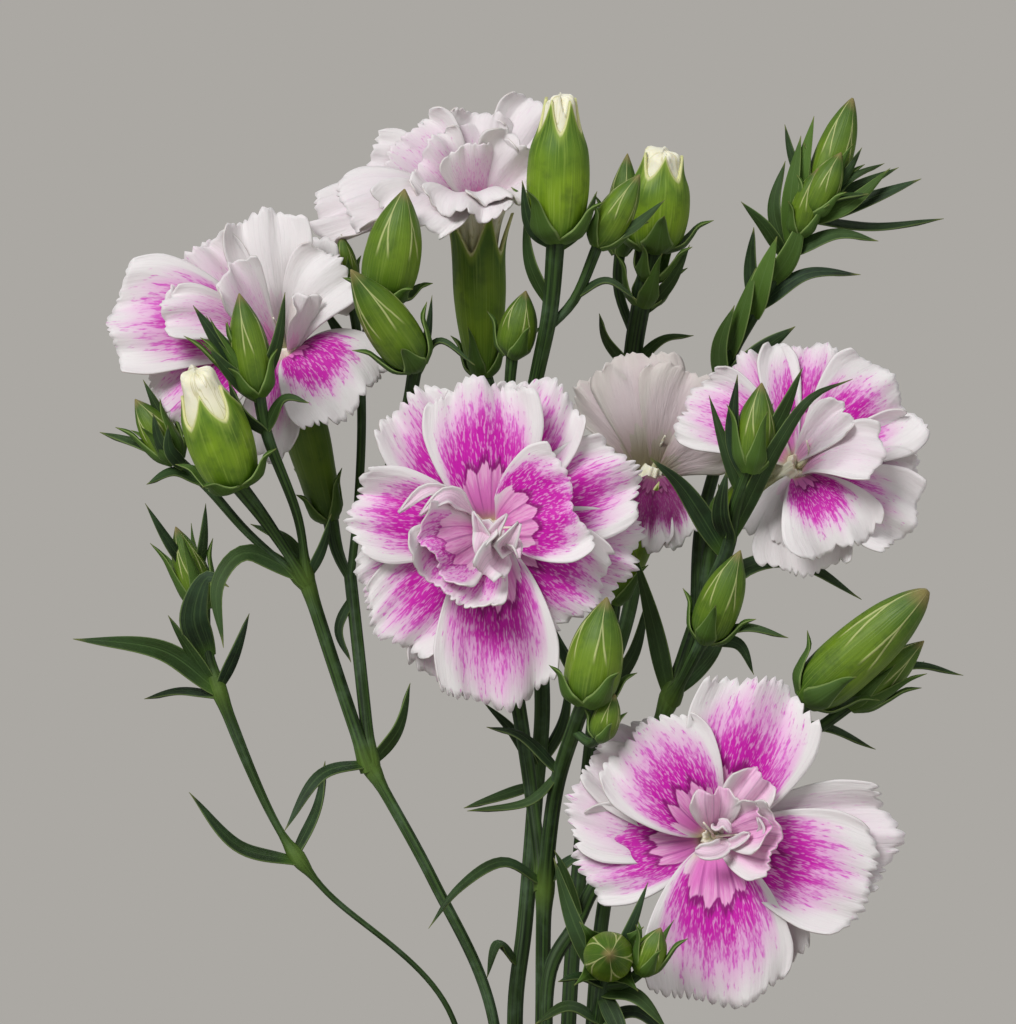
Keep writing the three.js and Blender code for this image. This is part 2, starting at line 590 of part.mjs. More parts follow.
function middleStem() {
  const { place, radius } = roots.middle;
  return fuse([
    rootedStem(place, [
      [-2.2, 8, 134.8], [-0.8, 9, 147], [0.8, 11, 166.2], [1.9, 13, 181.5], [0, 14, 200],
      [-3.5, 14, 217], [-7, 14, 231],
    ], radius, 1.5),
    leaf([[-2, 8, 141.5], [-4.8, 5, 144.6], [-6.5, 2, 139.6]], 1.8),
    leaf([[1.2, 11.5, 170.5], [-2.5, 9, 176.6], [-7, 7, 181]], 2.2, [-0.5, -0.8, 0.2]),
    leaf([[1, 11, 168.4], [-4.6, 9, 166.6], [-10, 8, 165]], 2.2),
    leaf([[1.2, 11.6, 171], [5, 14, 178], [6, 17.6, 186]], 2.2, [0.5, 0.8, 0]),
    calyx({ ...flowers.flower_top, turn: -0.9 }),
    // Branch with the tall bud and two small ones
    stem([[-1.8, 14, 210], [-1, 10, 221], [1.2, 6, 231], [3, 2, 240], [3.9, -2, 251]], 1.1, 1.8),
    openingBud({ ...openingBuds.bud_tip_middle, turn: -0.6 }),
    leaf([[3.6, -1.4, 249.5], [0.2, -4.5, 252.5], [-1.2, -6, 259.2]], 2.4, [-0.5, -0.9, 0]),
    leaf([[3, 2, 241], [0.2, 0, 247], [-0.8, -2, 254.5]], 2.6, [-0.6, -0.8, 0]),
    leaf([[4, -1.6, 249], [8, -4, 253], [10, -5.5, 257.6]], 2.2, [0.5, -0.9, 0]),
    stem([[2.4, 3.6, 237], [6.6, 2, 241.5], [10.3, 0, 250]], 0.9, 1.1),
    bud([10, 0, 249.6], [16.4, -3, 260.2], 2.8, 7.5, 3, 0.7),
    leaf([[6.8, 2, 242], [11.5, 0, 244.4], [16, -1, 241.5]], 1.5),
    leaf([[10, 0, 250], [15, -2, 252], [20.2, -4, 256.4]], 2.2, [0.2, -0.8, 0.5]),
    stem([[-1.2, 11, 219], [-3, 8, 227], [-2.6, 6, 234]], 0.8, 1.2),
    bud([-2.7, 6, 233], [-0.6, 4, 243], 2.9, 6, 3, 0.3),
  ]);
}

function frontStem() {
  const { place, radius } = roots.front;
  return fuse([
    rootedStem(place, [
      [1.9, -2, 134.8], [2.2, -4, 152.8], [3.8, -10, 168.2], [6.6, -19, 178], [8.2, -25.5, 182.5],
    ], radius, 1.5),
    knot([2, -4, 153.6], 2.1),
    leaf([[2, -4, 154], [-4, -8, 157.4], [-10.7, -12, 153.6], [-15.1, -14, 147.9]], 2.2),
    leaf([[2.2, -4, 154], [7, -6, 158], [11, -6, 156.5]], 2.2),
    leaf([[4.2, -12, 171], [-1.6, -14, 176.5], [-6.5, -13.5, 177.8]], 2.2),
    leaf([[4.4, -12, 171], [0, -10, 166.6], [-9.4, -10, 165.2]], 1.8),
    bud([8.2, -25.5, 181.2], [11.2, -28, 197.2], 4.2, 7, 4, 0.5),
    stem([[6.4, -18.5, 177.4], [9, -22, 175.6], [10.1, -24.5, 176.8]], 0.9, 1),
    bud([10.1, -24.4, 176.2], [12.4, -27, 183], 2.1, 4.5, 3, 0),
    // Branch that bends forward into the big flower
    stem([[2, -4, 153], [0.5, 0, 165], [-2, 5, 182], [-5.4, 7.4, 198], [-6, 5, 205], [-6, 3.5, 205.2]],
      1.2, 1.7, 8),
    calyx({ ...flowers.flower_front, turn: 0.3 }),
  ]);
}

function lowFlowerStem() {
  const { place, radius } = roots.low;
  return fuse([
    rootedStem(place, [
      [2.9, -7.5, 141], [6.9, -6, 148.2], [10, -3, 154], [18, 2, 158], [24, 2.6, 159.4],
      [26, 0, 159.6],
    ], radius, 1.6),
    leaf([[7.4, -5.8, 149], [5, -9, 156.5], [3.6, -10.5, 159.4]], 2, [-0.4, -0.9, 0]),
    calyx({ ...flowers.flower_low, turn: 0.6 }),
  ]);
}

function backStem() {
  const { place, radius } = roots.back;
  return fuse([
    rootedStem(place, [
      [6, 14, 134.8], [8.5, 17, 165], [10.5, 17, 182], [12.3, 14, 194], [12.6, 12.8, 197],
    ], radius, 1.7),
    leaf([[10.4, 17, 181], [6, 20, 187], [2, 22, 195]], 2.6, [-0.6, 0.7, 0.2]),
    leaf([[10.4, 17, 181], [15.5, 15, 188], [18, 14, 197]], 2.6, [0.5, -0.8, 0]),
    calyx({ ...flowers.flower_back, turn: 0.2 }),
    stem([[10.4, 17, 180], [15.5, 24, 196], [17, 26, 215], [15.6, 25, 231], [18.8, 21, 250.5]],
      1.3, 2),
    openingBud({ ...openingBuds.bud_tip_back, turn: 0.1 }),
    // Dark bracts and a small bud behind the opening one
    ...bracts(point(17.2, 23, 242), point(0.2, -0.1, 0.97).normalize(), 3.2, 8, 4, 0.2),
    stem([[16.2, 24.6, 236], [13.6, 27, 244], [14, 27, 251]], 0.9, 1.1),
    bud([13.8, 27, 249], [15, 26, 264.6], 2.6, 9, 3, 0.3),
    leaf([[15.6, 25, 231.5], [11.8, 23, 236], [10.6, 21, 240]], 2, [-0.5, -0.8, 0]),
    leaf([[15.8, 25, 232], [20.5, 22, 236], [25, 20, 236.6]], 1.9, [0.2, -0.8, 0.5]),
    leaf([[17, 23.6, 240], [21.5, 20.5, 245], [24.4, 19, 250.4]], 2.4, [0.5, -0.8, 0.2]),
  ]);
}

function rightStem() {
  const { place, radius } = roots.right;
  return fuse([
    rootedStem(place, [
      [9.6, 5, 134.8], [12, 5, 155], [16.5, 3, 170], [21.1, 1, 182.2], [25.5, -1, 195],
      [29.5, -6, 204.3], [30.4, -12, 210.2], [32.6, -16.5, 217],
    ], radius, 1.3),
    knot([21, 1, 182], 2.3),
    bud([32.6, -16.4, 215.6], [34.2, -18.4, 228.8], 3.1, 7, 3, 0.2),
    leaf([[32.4, -16, 215.6], [36.4, -18, 222.8], [40.2, -19, 231]], 3, [0.4, -0.9, 0]),
    leaf([[31, -13.5, 212.6], [28.6, -17, 220], [26.4, -18, 227]], 2, [-0.3, -0.9, 0.2]),
    leaf([[32, -15.6, 214.6], [30, -18, 221], [30.6, -19, 230]], 2.6, [-0.3, -0.9, 0]),
    leaf([[29.8, -8, 205.8], [36.4, -19.5, 219.5], [41.5, -21.5, 226.6], [47.5, -22, 229.3]], 2.8,
      [0.3, -0.9, 0.3]),
    leaf([[29, -5, 203.6], [22.6, -8, 213.4], [17.8, -10, 217.8]], 3.4, [-0.3, -0.8, 0.5]),
    leaf([[29.8, -7, 205.4], [28.4, -12.5, 210], [29.2, -14.5, 216]], 3.4, [-0.4, -0.9, 0]),
    // Open flower
    stem([[25.8, -1, 196], [27, 4.5, 203], [28.5, 9, 209.5]], 1.2, 1.7),
    calyx({ ...flowers.flower_right, turn: 0.4 }),
    // Leafy shoot that rises behind the open flower
    stem([
      [25, 0, 194], [26, 13, 208], [29, 18, 220], [29.8, 17, 231.2], [34.8, 15, 240.9],
      [39, 13, 248.4], [44.2, 12, 258],
    ], 1.4, 1),
    leaf([[29.5, 17, 228.5], [29, 14, 235], [31, 12, 241]], 3.4, [-0.6, -0.8, 0]),
    leaf([[29.8, 17, 229], [35.6, 14, 234.6], [40.2, 12, 237.8]], 3.6, [0.5, -0.8, 0.3]),
    leaf([[34.6, 15, 240.6], [42, 12, 245.6], [50, 10, 245.6]], 2.8, [0.2, -0.8, 0.6]),
    leaf([[34.5, 15, 240.6], [33.6, 13, 246.5], [33.9, 11, 252.8]], 2.8, [-0.6, -0.8, 0]),
    leaf([[39, 13, 248.6], [46.5, 10, 251.6], [52.6, 8, 250.6]], 2.8, [0.2, -0.8, 0.6]),
    leaf([[38.8, 13, 248.4], [35.6, 11, 253], [31.9, 9, 256.6]], 2.4, [-0.5, -0.8, 0.2]),
    leaf([[39, 13, 249], [37.2, 14, 256], [38.8, 15, 263]], 2.8, [-0.6, -0.8, 0]),
    leaf([[42, 12.4, 253.6], [51, 10, 256.8], [59.1, 8, 260]], 3, [0.3, -0.8, 0.5]),
    leaf([[42, 12.4, 254], [52, 13, 252.8], [62.8, 14, 254.2]], 2, [0, -0.7, 0.7]),
    leaf([[42.5, 12.3, 254.6], [50, 13, 259], [56, 15, 262]], 2.6, [0.3, -0.8, 0.5]),
    leaf([[42.5, 12.3, 255], [46.5, 8, 257], [51, 5, 257.6]], 2.6, [0.1, -0.6, 0.8]),
    bud([43.6, 12, 256.4], [48.9, 12, 272.4], 3, 8, 3, 0.4),
    bud([42.4, 10, 254.6], [47, 8, 264], 2.6, 6, 3, 0.1),
    bud([40.6, 11.6, 251.6], [43.6, 8, 261.6], 2.4, 5, 3, 0.7),
    leaf([[43.4, 12, 257], [40, 12, 263], [38.6, 12, 268.4]], 2, [-0.5, -0.8, 0]),
    // Bud and leaves on the middle of the stem
    stem([[21.2, 1, 181.6], [23.5, -4, 186], [26.2, -8, 191.6]], 0.9, 1.3),
    bud([26, -8, 190.4], [31.2, -13, 204], 3.3, 8, 4, 0.6),
    leaf([[21, 1, 182], [18.6, -2, 193], [15.6, -5, 203.8]], 3.2, [-0.4, -0.9, 0]),
    leaf([[21.4, 1, 182.4], [27.5, 3, 189], [30.2, 4, 196]], 2.8, [0.3, -0.9, 0]),
    leaf([[25.6, -1, 195], [33, -1.5, 201.4], [40, -2, 202], [49.6, -3, 196.6]], 3.6,
      [0, -0.7, 0.7]),
    leaf([[26, -7, 190.6], [32, -9, 192.4], [38.4, -11, 191]], 2, [0, -0.7, 0.7]),
    leaf([[26.2, -7.5, 190.6], [31, -7, 190], [33.4, -6, 185.4]], 2, [0.3, -0.9, 0]),
    // Side branch with two tilted buds
    stem([[16.6, 3, 170.4], [27, 3.6, 172], [36, 1, 174.6], [39.6, -3, 178.6], [41.4, -5, 182.4]],
      1.1, 1.8),
    bud([41, -5, 181.6], [59.1, -11, 198], 4.4, 9, 4, 0.5),
    stem([[36, 1, 174.6], [42.6, 0.6, 176.9], [48.6, 0, 181.2]], 0.9, 1.2),
    bud([47.8, 0, 180.6], [59, -2, 190.4], 3, 8, 3, 0.2),
    leaf([[36, 1, 174.6], [43, 2, 177.4], [52, 3, 174]], 2.2),
    leaf([[48, 0, 181], [57, 1, 186.5], [65, 0, 185.2]], 2, [0, -0.7, 0.7]),
  ]);
}

function shortShoot() {
  const { place, radius } = roots.short;
  return fuse([
    rootedStem(place, [[9.6, -20, 128], [10.6, -25, 139], [11.4, -27.4, 144.4]], radius, 1.5),
    bud([11.4, -26.4, 144.2], [11.5, -38, 145.4], 3.7, 6, 4, 0.7),
    stem([[10.8, -25.6, 140], [14, -28, 140.6], [16.5, -30, 142.8]], 0.9, 1.1),
    bud([16.3, -30, 142.2], [19, -33, 149], 2.4, 5, 3, 0.4),
    leaf([[10.8, -25.5, 140.6], [6.6, -27, 149], [3.4, -28, 159]], 3, [-0.3, -0.9, 0]),
    leaf([[11, -26, 141], [14.4, -29.6, 148.4], [17.2, -31, 155.6]], 2.2, [0.3, -0.9, 0]),
    leaf([[10.8, -25.5, 140], [7, -29, 141.6], [4, -31, 141]], 2.2),
    leaf([[10.6, -25, 139], [15.4, -29, 138.6], [20, -31, 134]], 3, [0.2, -0.8, 0.5]),
    leaf([[10.6, -25, 139], [13, -29, 133.5], [12.6, -31, 128.6]], 3, [0, -0.9, -0.3]),
    leaf([[10.2, -23, 134.6], [5.4, -26.5, 137], [0.6, -29, 134.6]], 2.6),
    leaf([[10.2, -23, 134.6], [15.6, -24, 136], [20.6, -25.5, 132]], 2.6),
  ]);
}

// Short shoot without flowers, with pairs of narrow leaves set crosswise up a leaning axis.
function tuft([x, y], lean, pairs) {
  const outward = point(Math.cos(lean), Math.sin(lean), 0);
  const at = (height) => point(x, y, soilTop + height).addScaledVector(outward, height * 0.35);
  const top = 5 + 3.4 * pairs;
  const axisRoute = [[x, y, soilTop - 8], at(0).toArray(), at(top / 2).toArray(), at(top).toArray()];
  const pieces = [stem(axisRoute, 1.1, 0.8, 8, 6)];
  for (let pair = 0; pair < pairs; pair++) {
    const height = 4 + 3.4 * pair;
    const length = 19 - 2 * pair;
    for (const turn of [0, Math.PI]) {
      const angle = lean + Math.PI / 4 + (pair % 2) * (Math.PI / 2) + turn;
      const out = point(Math.cos(angle), Math.sin(angle), 0);
      const along = (share, rise) => at(height).addScaledVector(out, length * share)
        .add(point(0, 0, rise)).toArray();
      const route = [along(0, 0), along(0.4, length * 0.45), along(0.85, length * 0.5)];
      pieces.push(leaf(route, 2.6, [-0.5 * out.x, -0.5 * out.y, 0.9]));
    }
  }
  return fuse(pieces);
}

const tufts = {
  tuft_left: { place: [-25, 6], lean: Math.PI, pairs: 3 },
  tuft_right: { place: [26, -14], lean: -0.5, pairs: 3 },
  tuft_back: { place: [6, 27], lean: 1.4, pairs: 3 },
};

// ---- pot and soil -----------------------------------------------------------------------------

// Radius of the pot's outer wall at a height.
const potRadius = (height) =>
  THREE.MathUtils.lerp(potBaseRadius, potTopRadius - rimStep, height / potHeight);

function pot() {
  const floor = 3;
  const rimStart = potHeight - rimHeight;
  const profile = [
    [0, 0], [potBaseRadius - 1.5, 0], [potRadius(1.5), 1.5], [potRadius(rimStart - 1.5), rimStart - 1.5],
    [potTopRadius - 0.4, rimStart], [potTopRadius, potHeight - 1], [potTopRadius - 0.8, potHeight],
    [potTopRadius - 0.8 - potWall, potHeight], [potRadius(rimStart) - potWall, rimStart - 2],
    [potRadius(floor) - potWall, floor], [0, floor],
  ];
  const shell = new THREE.LatheGeometry(profile.map(([x, y]) => new THREE.Vector2(x, y)), 28);
  shell.rotateX(Math.PI / 2);
  const holes = [0, 1, 2, 3].map((quarter) => {
    const hole = new THREE.CylinderGeometry(drainHoleRadius, drainHoleRadius, 4 * floor, 8);
    hole.rotateX(Math.PI / 2);
    const turn = (quarter + 0.5) * (Math.PI / 2);
    hole.translate(drainHoleRing * Math.cos(turn), drainHoleRing * Math.sin(turn), floor / 2);
    return solidFrom(hole);
  });
  return holes.reduce((body, hole) => body.subtract(hole), solidFrom(shell));
}

// Soil: it fills the pot to a crumbly surface and has a plain hole for each stem.
function soil() {
  const sides = 22;
  const wallRadius = (height) => potRadius(height) - potWall - seatGap - 0.6;
  const ring = (radius, height, bump) => Array.from({ length: sides }, (_, side) => {
    const turn = (2 * Math.PI * side) / sides;
    const lift = bump * Math.sin(5 * turn + radius) * Math.cos(3 * turn - 0.7 * radius);
    return point(radius * Math.cos(turn), radius * Math.sin(turn), height + lift);
  });
  const bottom = 3 + seatGap;
  const top = soilTop - 3;
  const ground = loft([
    ring(wallRadius(bottom), bottom, 0),
    ring(wallRadius(soilTop - 10) - 0.6, top, 0.4),
    ring(36, soilTop - 1.4, 1.1),
    ring(26, soilTop - 0.4, 1.1),
    ring(16, soilTop, 0.5),
    [point(0, 0, soilTop)],
  ]);
  const hole = ([x, y], radius, depth) => {
    const drill = new THREE.CylinderGeometry(radius, radius, depth + 8, 6);
    drill.rotateX(Math.PI / 2);
    drill.translate(x, y, soilTop + 4 - depth / 2);
    return solidFrom(drill);
  };
  const stemHoles = Object.values(roots).map(({ place, radius }) =>
    hole(place, radius + 2 * seatGap, rootDepth + seatGap));
  const tuftHoles = Object.values(tufts).map(({ place }) =>
    hole(place, 1.1 + 2 * seatGap, 8 + seatGap));
  return [...stemHoles, ...tuftHoles].reduce((body, drill) => body.subtract(drill), ground);
}

// ---- the whole plant ----------------------------------------------------------------------------

const plant = new THREE.Group();

function place(name, solid, colour, roughness = 0.7) {
  const material = new THREE.MeshStandardMaterial({ color: colour, roughness, metalness: 0 });
  const mesh = new THREE.Mesh(geometryFrom(solid), material);
  mesh.name = name;
  plant.add(mesh);
}

place("pot", pot(), colours.pot, 0.6);
place("soil", soil(), colours.soil, 0.95);
place("stem_left", leftStem(), colours.stem);
place("stem_branched", branchedStem(), colours.stem);
place("stem_middle", middleStem(), colours.stem);
place("stem_front", frontStem(), colours.stem);
place("stem_low", lowFlowerStem(), colours.stem);
place("stem_back", backStem(), colours.stem);
place("stem_right", rightStem(), colours.stem);
place("shoot_short", shortShoot(), colours.stem);
for (const [name, form] of Object.entries(tufts)) {
  place(name, tuft(form.place, form.lean, form.pairs), colours.stem);
}
for (const [name, form] of Object.entries(flowers)) {
  place(name, flower(form), colours.petal, 0.6);
}
for (const [name, form] of Object.entries(openingBuds)) {
  place(name, budTip(form), colours.bud, 0.6);
}

export default plant;
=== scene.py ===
# Finishes the potted double pink: its petals, leaves, buds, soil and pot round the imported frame.
import math

import bpy
import numpy as np
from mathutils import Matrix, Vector


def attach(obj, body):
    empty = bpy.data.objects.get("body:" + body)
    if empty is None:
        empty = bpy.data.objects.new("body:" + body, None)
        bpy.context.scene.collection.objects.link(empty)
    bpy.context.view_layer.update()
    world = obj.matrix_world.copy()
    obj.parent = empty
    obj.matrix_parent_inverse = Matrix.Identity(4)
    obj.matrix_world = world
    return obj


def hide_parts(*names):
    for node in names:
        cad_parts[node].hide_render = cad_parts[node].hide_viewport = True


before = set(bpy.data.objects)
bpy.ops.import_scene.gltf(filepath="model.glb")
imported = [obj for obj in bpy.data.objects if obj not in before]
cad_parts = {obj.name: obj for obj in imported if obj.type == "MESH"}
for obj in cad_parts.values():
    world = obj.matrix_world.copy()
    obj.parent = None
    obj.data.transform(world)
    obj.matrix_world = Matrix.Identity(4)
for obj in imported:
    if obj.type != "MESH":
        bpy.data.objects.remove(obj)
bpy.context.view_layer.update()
scene = bpy.context.scene
mm = 0.001  # all shapes below are worked out in millimetres
print("frame loaded:", len(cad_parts), "nodes")


def paint(red, green, blue):  # a screen colour, 0 to 255, as the linear colour a shader takes
    def straight(level):
        share = level / 255
        return share / 12.92 if share <= 0.04045 else ((share + 0.055) / 1.055) ** 2.4
    return (straight(red), straight(green), straight(blue), 1.0)


class Flow:  # a node tree, or one socket in it that can be reckoned with
    def __init__(self, tree, socket=None):
        self.tree, self.socket = tree, socket

    def node(self, kind, settings=None, values=None, out=0):
        made = self.tree.nodes.new(kind)
        for key, setting in (settings or {}).items():
            setattr(made, key, setting)
        for key, value in (values or {}).items():
            if isinstance(value, Flow):
                self.tree.links.new(value.socket, made.inputs[key])
            else:
                made.inputs[key].default_value = value
        return Flow(self.tree, made.outputs[out] if made.outputs else None)

    def math(self, operation, *values):
        return self.node("ShaderNodeMath", {"operation": operation}, dict(enumerate(values)))

    def __add__(self, other):
        return self.math("ADD", self, other)

    def __radd__(self, other):
        return self.math("ADD", other, self)

    def __sub__(self, other):
        return self.math("SUBTRACT", self, other)

    def __rsub__(self, other):
        return self.math("SUBTRACT", other, self)

    def __mul__(self, other):
        return self.math("MULTIPLY", self, other)

    def __rmul__(self, other):
        return self.math("MULTIPLY", other, self)

    def __truediv__(self, other):
        return self.math("DIVIDE", self, other)

    def __pow__(self, other):
        return self.math("POWER", self, other)

    def __abs__(self):
        return self.math("ABSOLUTE", self)

    def ease(self, low, high):  # 0 at low and 1 at high, with a soft start and end
        limits = {"Value": self, "From Min": low, "From Max": high}
        return self.node("ShaderNodeMapRange", {"interpolation_type": "SMOOTHSTEP"}, limits)

    def mix(self, first, second):  # this socket says how much of the second colour shows
        return self.node("ShaderNodeMix", {"data_type": "RGBA"}, {0: self, 6: first, 7: second}, 2)

    def vector(self, x=0.0, y=0.0, z=0.0):
        return self.node("ShaderNodeCombineXYZ", None, {0: x, 1: y, 2: z})

    def reckon(self, operation, *values):
        return self.node("ShaderNodeVectorMath", {"operation": operation}, dict(enumerate(values)))

    def scaled(self, factor):
        return self.node("ShaderNodeVectorMath", {"operation": "SCALE"}, {0: self, "Scale": factor})

    def part(self, axis):  # one number of a vector: 0, 1 or 2
        return self.node("ShaderNodeSeparateXYZ", None, {0: self}, axis)

    def noise(self, place, scale, detail, rough):
        values = {"Vector": place, "Scale": scale, "Detail": detail, "Roughness": rough}
        return self.node("ShaderNodeTexNoise", None, values)

    def grain(self, x, y, z, detail, rough):  # noise that is stretched along its own axes
        return self.noise(self.vector(x, y, z), 1, detail, rough)

    def read(self, name, out="Fac"):  # an attribute in a shader
        return self.node("ShaderNodeAttribute", {"attribute_name": name}, None, out)

    def readAll(self, *names):
        return [self.read(name) for name in names]

    def sheet(self):  # where a point lies round and along its petal, leaf or bud
        place = self.node("ShaderNodeUVMap", {"uv_map": "UVMap"})
        return place.part(0), place.part(1)

    def body(self):  # where a point lies in the object
        return self.node("ShaderNodeTexCoord", None, None, "Object")


def layered(look, colour, layers):  # each layer is a mask and its colour: a name in the look, or a socket
    for mask, over in layers:
        colour = mask.mix(look.get(colour, colour), look.get(over, over))
    return colour


def newCoat(name, look, dress):  # a material whose nodes are made by dress
    material = bpy.data.materials.new(name)
    material.use_nodes = True
    material.node_tree.nodes.clear()
    dress(Flow(material.node_tree), look)
    return material


def finishCoat(flow, colour, roughness, bump, strength, reach, shine, inner=(), sheen=0.0):
    # bump has a strength and a reach in metres; inner is how far light goes in: weight, radius, scale
    normal = flow.node("ShaderNodeBump", None, {"Height": bump, "Strength": strength, "Distance": reach})
    values = {"Base Color": colour, "Roughness": roughness, "Normal": normal, "Specular IOR Level": shine,
              "Sheen Weight": sheen}
    values.update({"Subsurface " + key: value for key, value in zip(("Weight", "Radius", "Scale"), inner)})
    shader = flow.node("ShaderNodeBsdfPrincipled", None, values)
    flow.node("ShaderNodeOutputMaterial", None, {"Surface": shader})


petalLook = {
    "white": paint(231, 225, 225), "grey": paint(211, 200, 206), "blush": paint(230, 172, 216),
    "pink": paint(214, 98, 196), "magenta": paint(200, 16, 168), "eye": paint(132, 0, 108),
    "throat": paint(228, 122, 198), "pale": paint(240, 172, 216), "vein": paint(150, 48, 134),
    # deep is a painted shade: dark burgundy for petals that hang in shade
    "claw": paint(206, 196, 150), "deep": paint(70, 16, 42), "back": paint(208, 199, 194),
    # the reverse side's cream and its green base below, both darkened in part as painted shade
    "backGreen": paint(128, 118, 92),
    "eyeLine": 0.37, "arch": 0.33, "jag": 0.13, "fingers": 3.0, "fade": 0.48, "streaks": 21,
    "roughness": 0.62,
}


def petalCoating(flow, look):
    around, along = flow.sheet()
    across = around * 2 - 1
    seed, mark, front = flow.readAll("seed", "mark", "front")
    side = abs(across)

    jag = flow.grain(across * 9 + seed * 31, seed * 7, 0.0, 2, 0.65)
    finger = abs(flow.math("FRACT", across * look["fingers"] + seed * 9 + 0.5 * jag) - 0.5) * 2
    arch = look["eyeLine"] - look["arch"] * side * side + look["jag"] * (jag - 0.5) + 0.07 * finger
    beyond = along - arch - flow.read("shift")
    outside = beyond.ease(-0.006, 0.012)
    streaks = flow.grain(across * look["streaks"], along * 6, seed * 50, 3, 0.65)
    speckles = flow.grain(across * 27, along * 17, seed * 80, 2, 0.6)
    spread = (beyond * beyond * look["fade"] ** -2 + side * side * 0.32) ** 0.5
    density = (1.18 - spread) * mark - 0.5 * (side + 0.3 * (jag - 0.5)).ease(0.78, 1.0)
    specks = (0.5 * streaks + 0.5 * speckles - 0.5) * (3.2 - 1.5 * density) + 0.45
    ink = (density - specks).ease(-0.2, 0.2) * outside * mark.ease(0.12, 0.6)
    haze = density.ease(-0.12, 0.5 * mark + 0.05) * outside * mark.ease(0.1, 0.75)
    flecks = flow.grain(across * 30, along * 20, seed * 11, 1, 0.5)
    rough = beyond + 0.14 * (speckles - 0.5)
    dark = rough.ease(0.085, 0.02) * outside * (side + 0.5 * (jag - 0.5)).ease(0.72, 0.45)
    dark = dark * mark.ease(0.35, 0.8)

    veins = finger.ease(0.34, 0.0) * side.ease(0.75, 0.4) * along.ease(0.06, 0.2)
    inner = layered(look, "throat", [
        ((streaks * along.ease(0.05, 0.4)).ease(0.25, 0.6), "pale"),
        (side.ease(0.45, 0.95), "white"),
        (veins * 0.6, "vein"),
        (along.ease(0.15, 0.0), "claw"),
        (mark.ease(0.5, 0.0), "white"),
    ])
    ribs = flow.grain(across * 34, along * 2.4, seed * 9, 2, 0.5)
    outer = layered(look, "white", [(ribs.ease(0.5, 0.72) * 0.2, "grey"), (haze, "blush")])
    face = layered(look, outside.mix(inner, outer), [
        (ink, density.ease(0.3, 0.75).mix(look["pink"], look["magenta"])),
        (flecks.ease(0.52, 0.66) * ink * 0.6, "blush"),
        (dark * 0.9, "eye"),
        # painted shade: petals marked past 1.45, the hanging petals of the back bloom, darken to burgundy as
        # if shaded
        (mark.ease(1.45, 1.6) * 0.75 * (haze + 1 - outside), "deep"),
    ])
    # reverse side: its own cream with a green base, darker towards the base partly as painted shade
    reverse = layered(look, "back", [(along.ease(0.6, 0.08), "backGreen"), (haze * 0.15, "blush")])
    colour = front.ease(0.45, 0.55).mix(reverse, face)
    crease = flow.grain(across * 5, along * 3, seed * 3, 3, 0.55)
    finishCoat(flow, colour, look["roughness"] - 0.12 * ribs, ribs * 0.22 + crease, 0.5, 0.0005, 0.25,
               (0.2, (0.6, 0.45, 0.5), 0.002), sheen=0.1)


creamLook = {
    "cream": paint(242, 238, 214), "shade": paint(214, 212, 158), "green": paint(150, 165, 80),
    # crease is a painted shade colour for the folds
    "crease": paint(184, 176, 112), "folds": 4,
}


def creamCoating(flow, look):  # rolled petals of an opening bud, petal claws and styles
    around, along = flow.sheet()
    mottle = flow.noise(flow.body(), 420, 3, 0.6)
    fold = flow.grain(around * look["folds"] * 3, along * 1.6, flow.read("seed") * 40, 2, 0.6)
    colour = layered(look, "shade", [
        (along.ease(0.35, 0.9), "cream"),
        (along.ease(0.3, 0.05), "green"),
        (mottle.ease(0.5, 0.75) * 0.35, "shade"),
        # painted shade: thin darker lines along the folds of the rolled petals
        (abs(fold - 0.5).ease(0.03, 0.0) * 0.55, "crease"),
    ])
    finishCoat(flow, colour, 0.55 + 0.15 * mottle, fold + 0.4 * mottle, 0.5, 0.0005, 0.35,
               (0.25, (0.6, 0.5, 0.35), 0.003))


leafLook = {
    "dark": paint(27, 50, 26), "deep": paint(7, 22, 8), "bright": paint(86, 120, 36),
    "rib": paint(98, 128, 72), "margin": paint(140, 162, 94), "bloom": paint(84, 112, 82),
    "tip": paint(126, 128, 70),
}


def leafCoating(flow, look):  # leaves, bracts and calyx scales: tone 0 is blue-green, 1 is yellow-green
    around, along = flow.sheet()
    side = abs(around * 2 - 1)
    tone, seed, under = flow.readAll("tone", "seed", "under")
    mottle = flow.noise(flow.body(), 260, 4, 0.6)
    wax = flow.noise(flow.body(), 75, 3, 0.5)
    veins = flow.grain(around * 26, along * 1.2, seed * 30, 2, 0.5)
    colour = layered(look, "deep", [
        (mottle.ease(0.35, 0.7), "dark"),
        (tone, "bright"),
        (along.ease(0.18, 0.0) * 0.5, "bright"),
        (wax.ease(0.4, 0.75) * 0.3 * (1 - tone), "bloom"),
        (veins.ease(0.52, 0.68) * 0.18, "rib"),
        (side.ease(0.09, 0.02) * (0.25 + 0.35 * under), "rib"),
        (side.ease(0.85, 0.97) * (0.4 + 0.5 * tone), "margin"),
        (along.ease(0.9, 1.0) * 0.7, "tip"),
    ])
    finishCoat(flow, colour, 0.5 + 0.2 * wax, veins + 0.5 * mottle, 0.35, 0.0003, 0.28,
               (0.06, (0.3, 0.6, 0.2), 0.002))


stemLook = {
    "green": paint(64, 92, 40), "dark": paint(9, 25, 6), "knot": paint(96, 124, 42),
    "bloom": paint(100, 126, 98), "straw": paint(118, 104, 66), "ridges": 7,
}


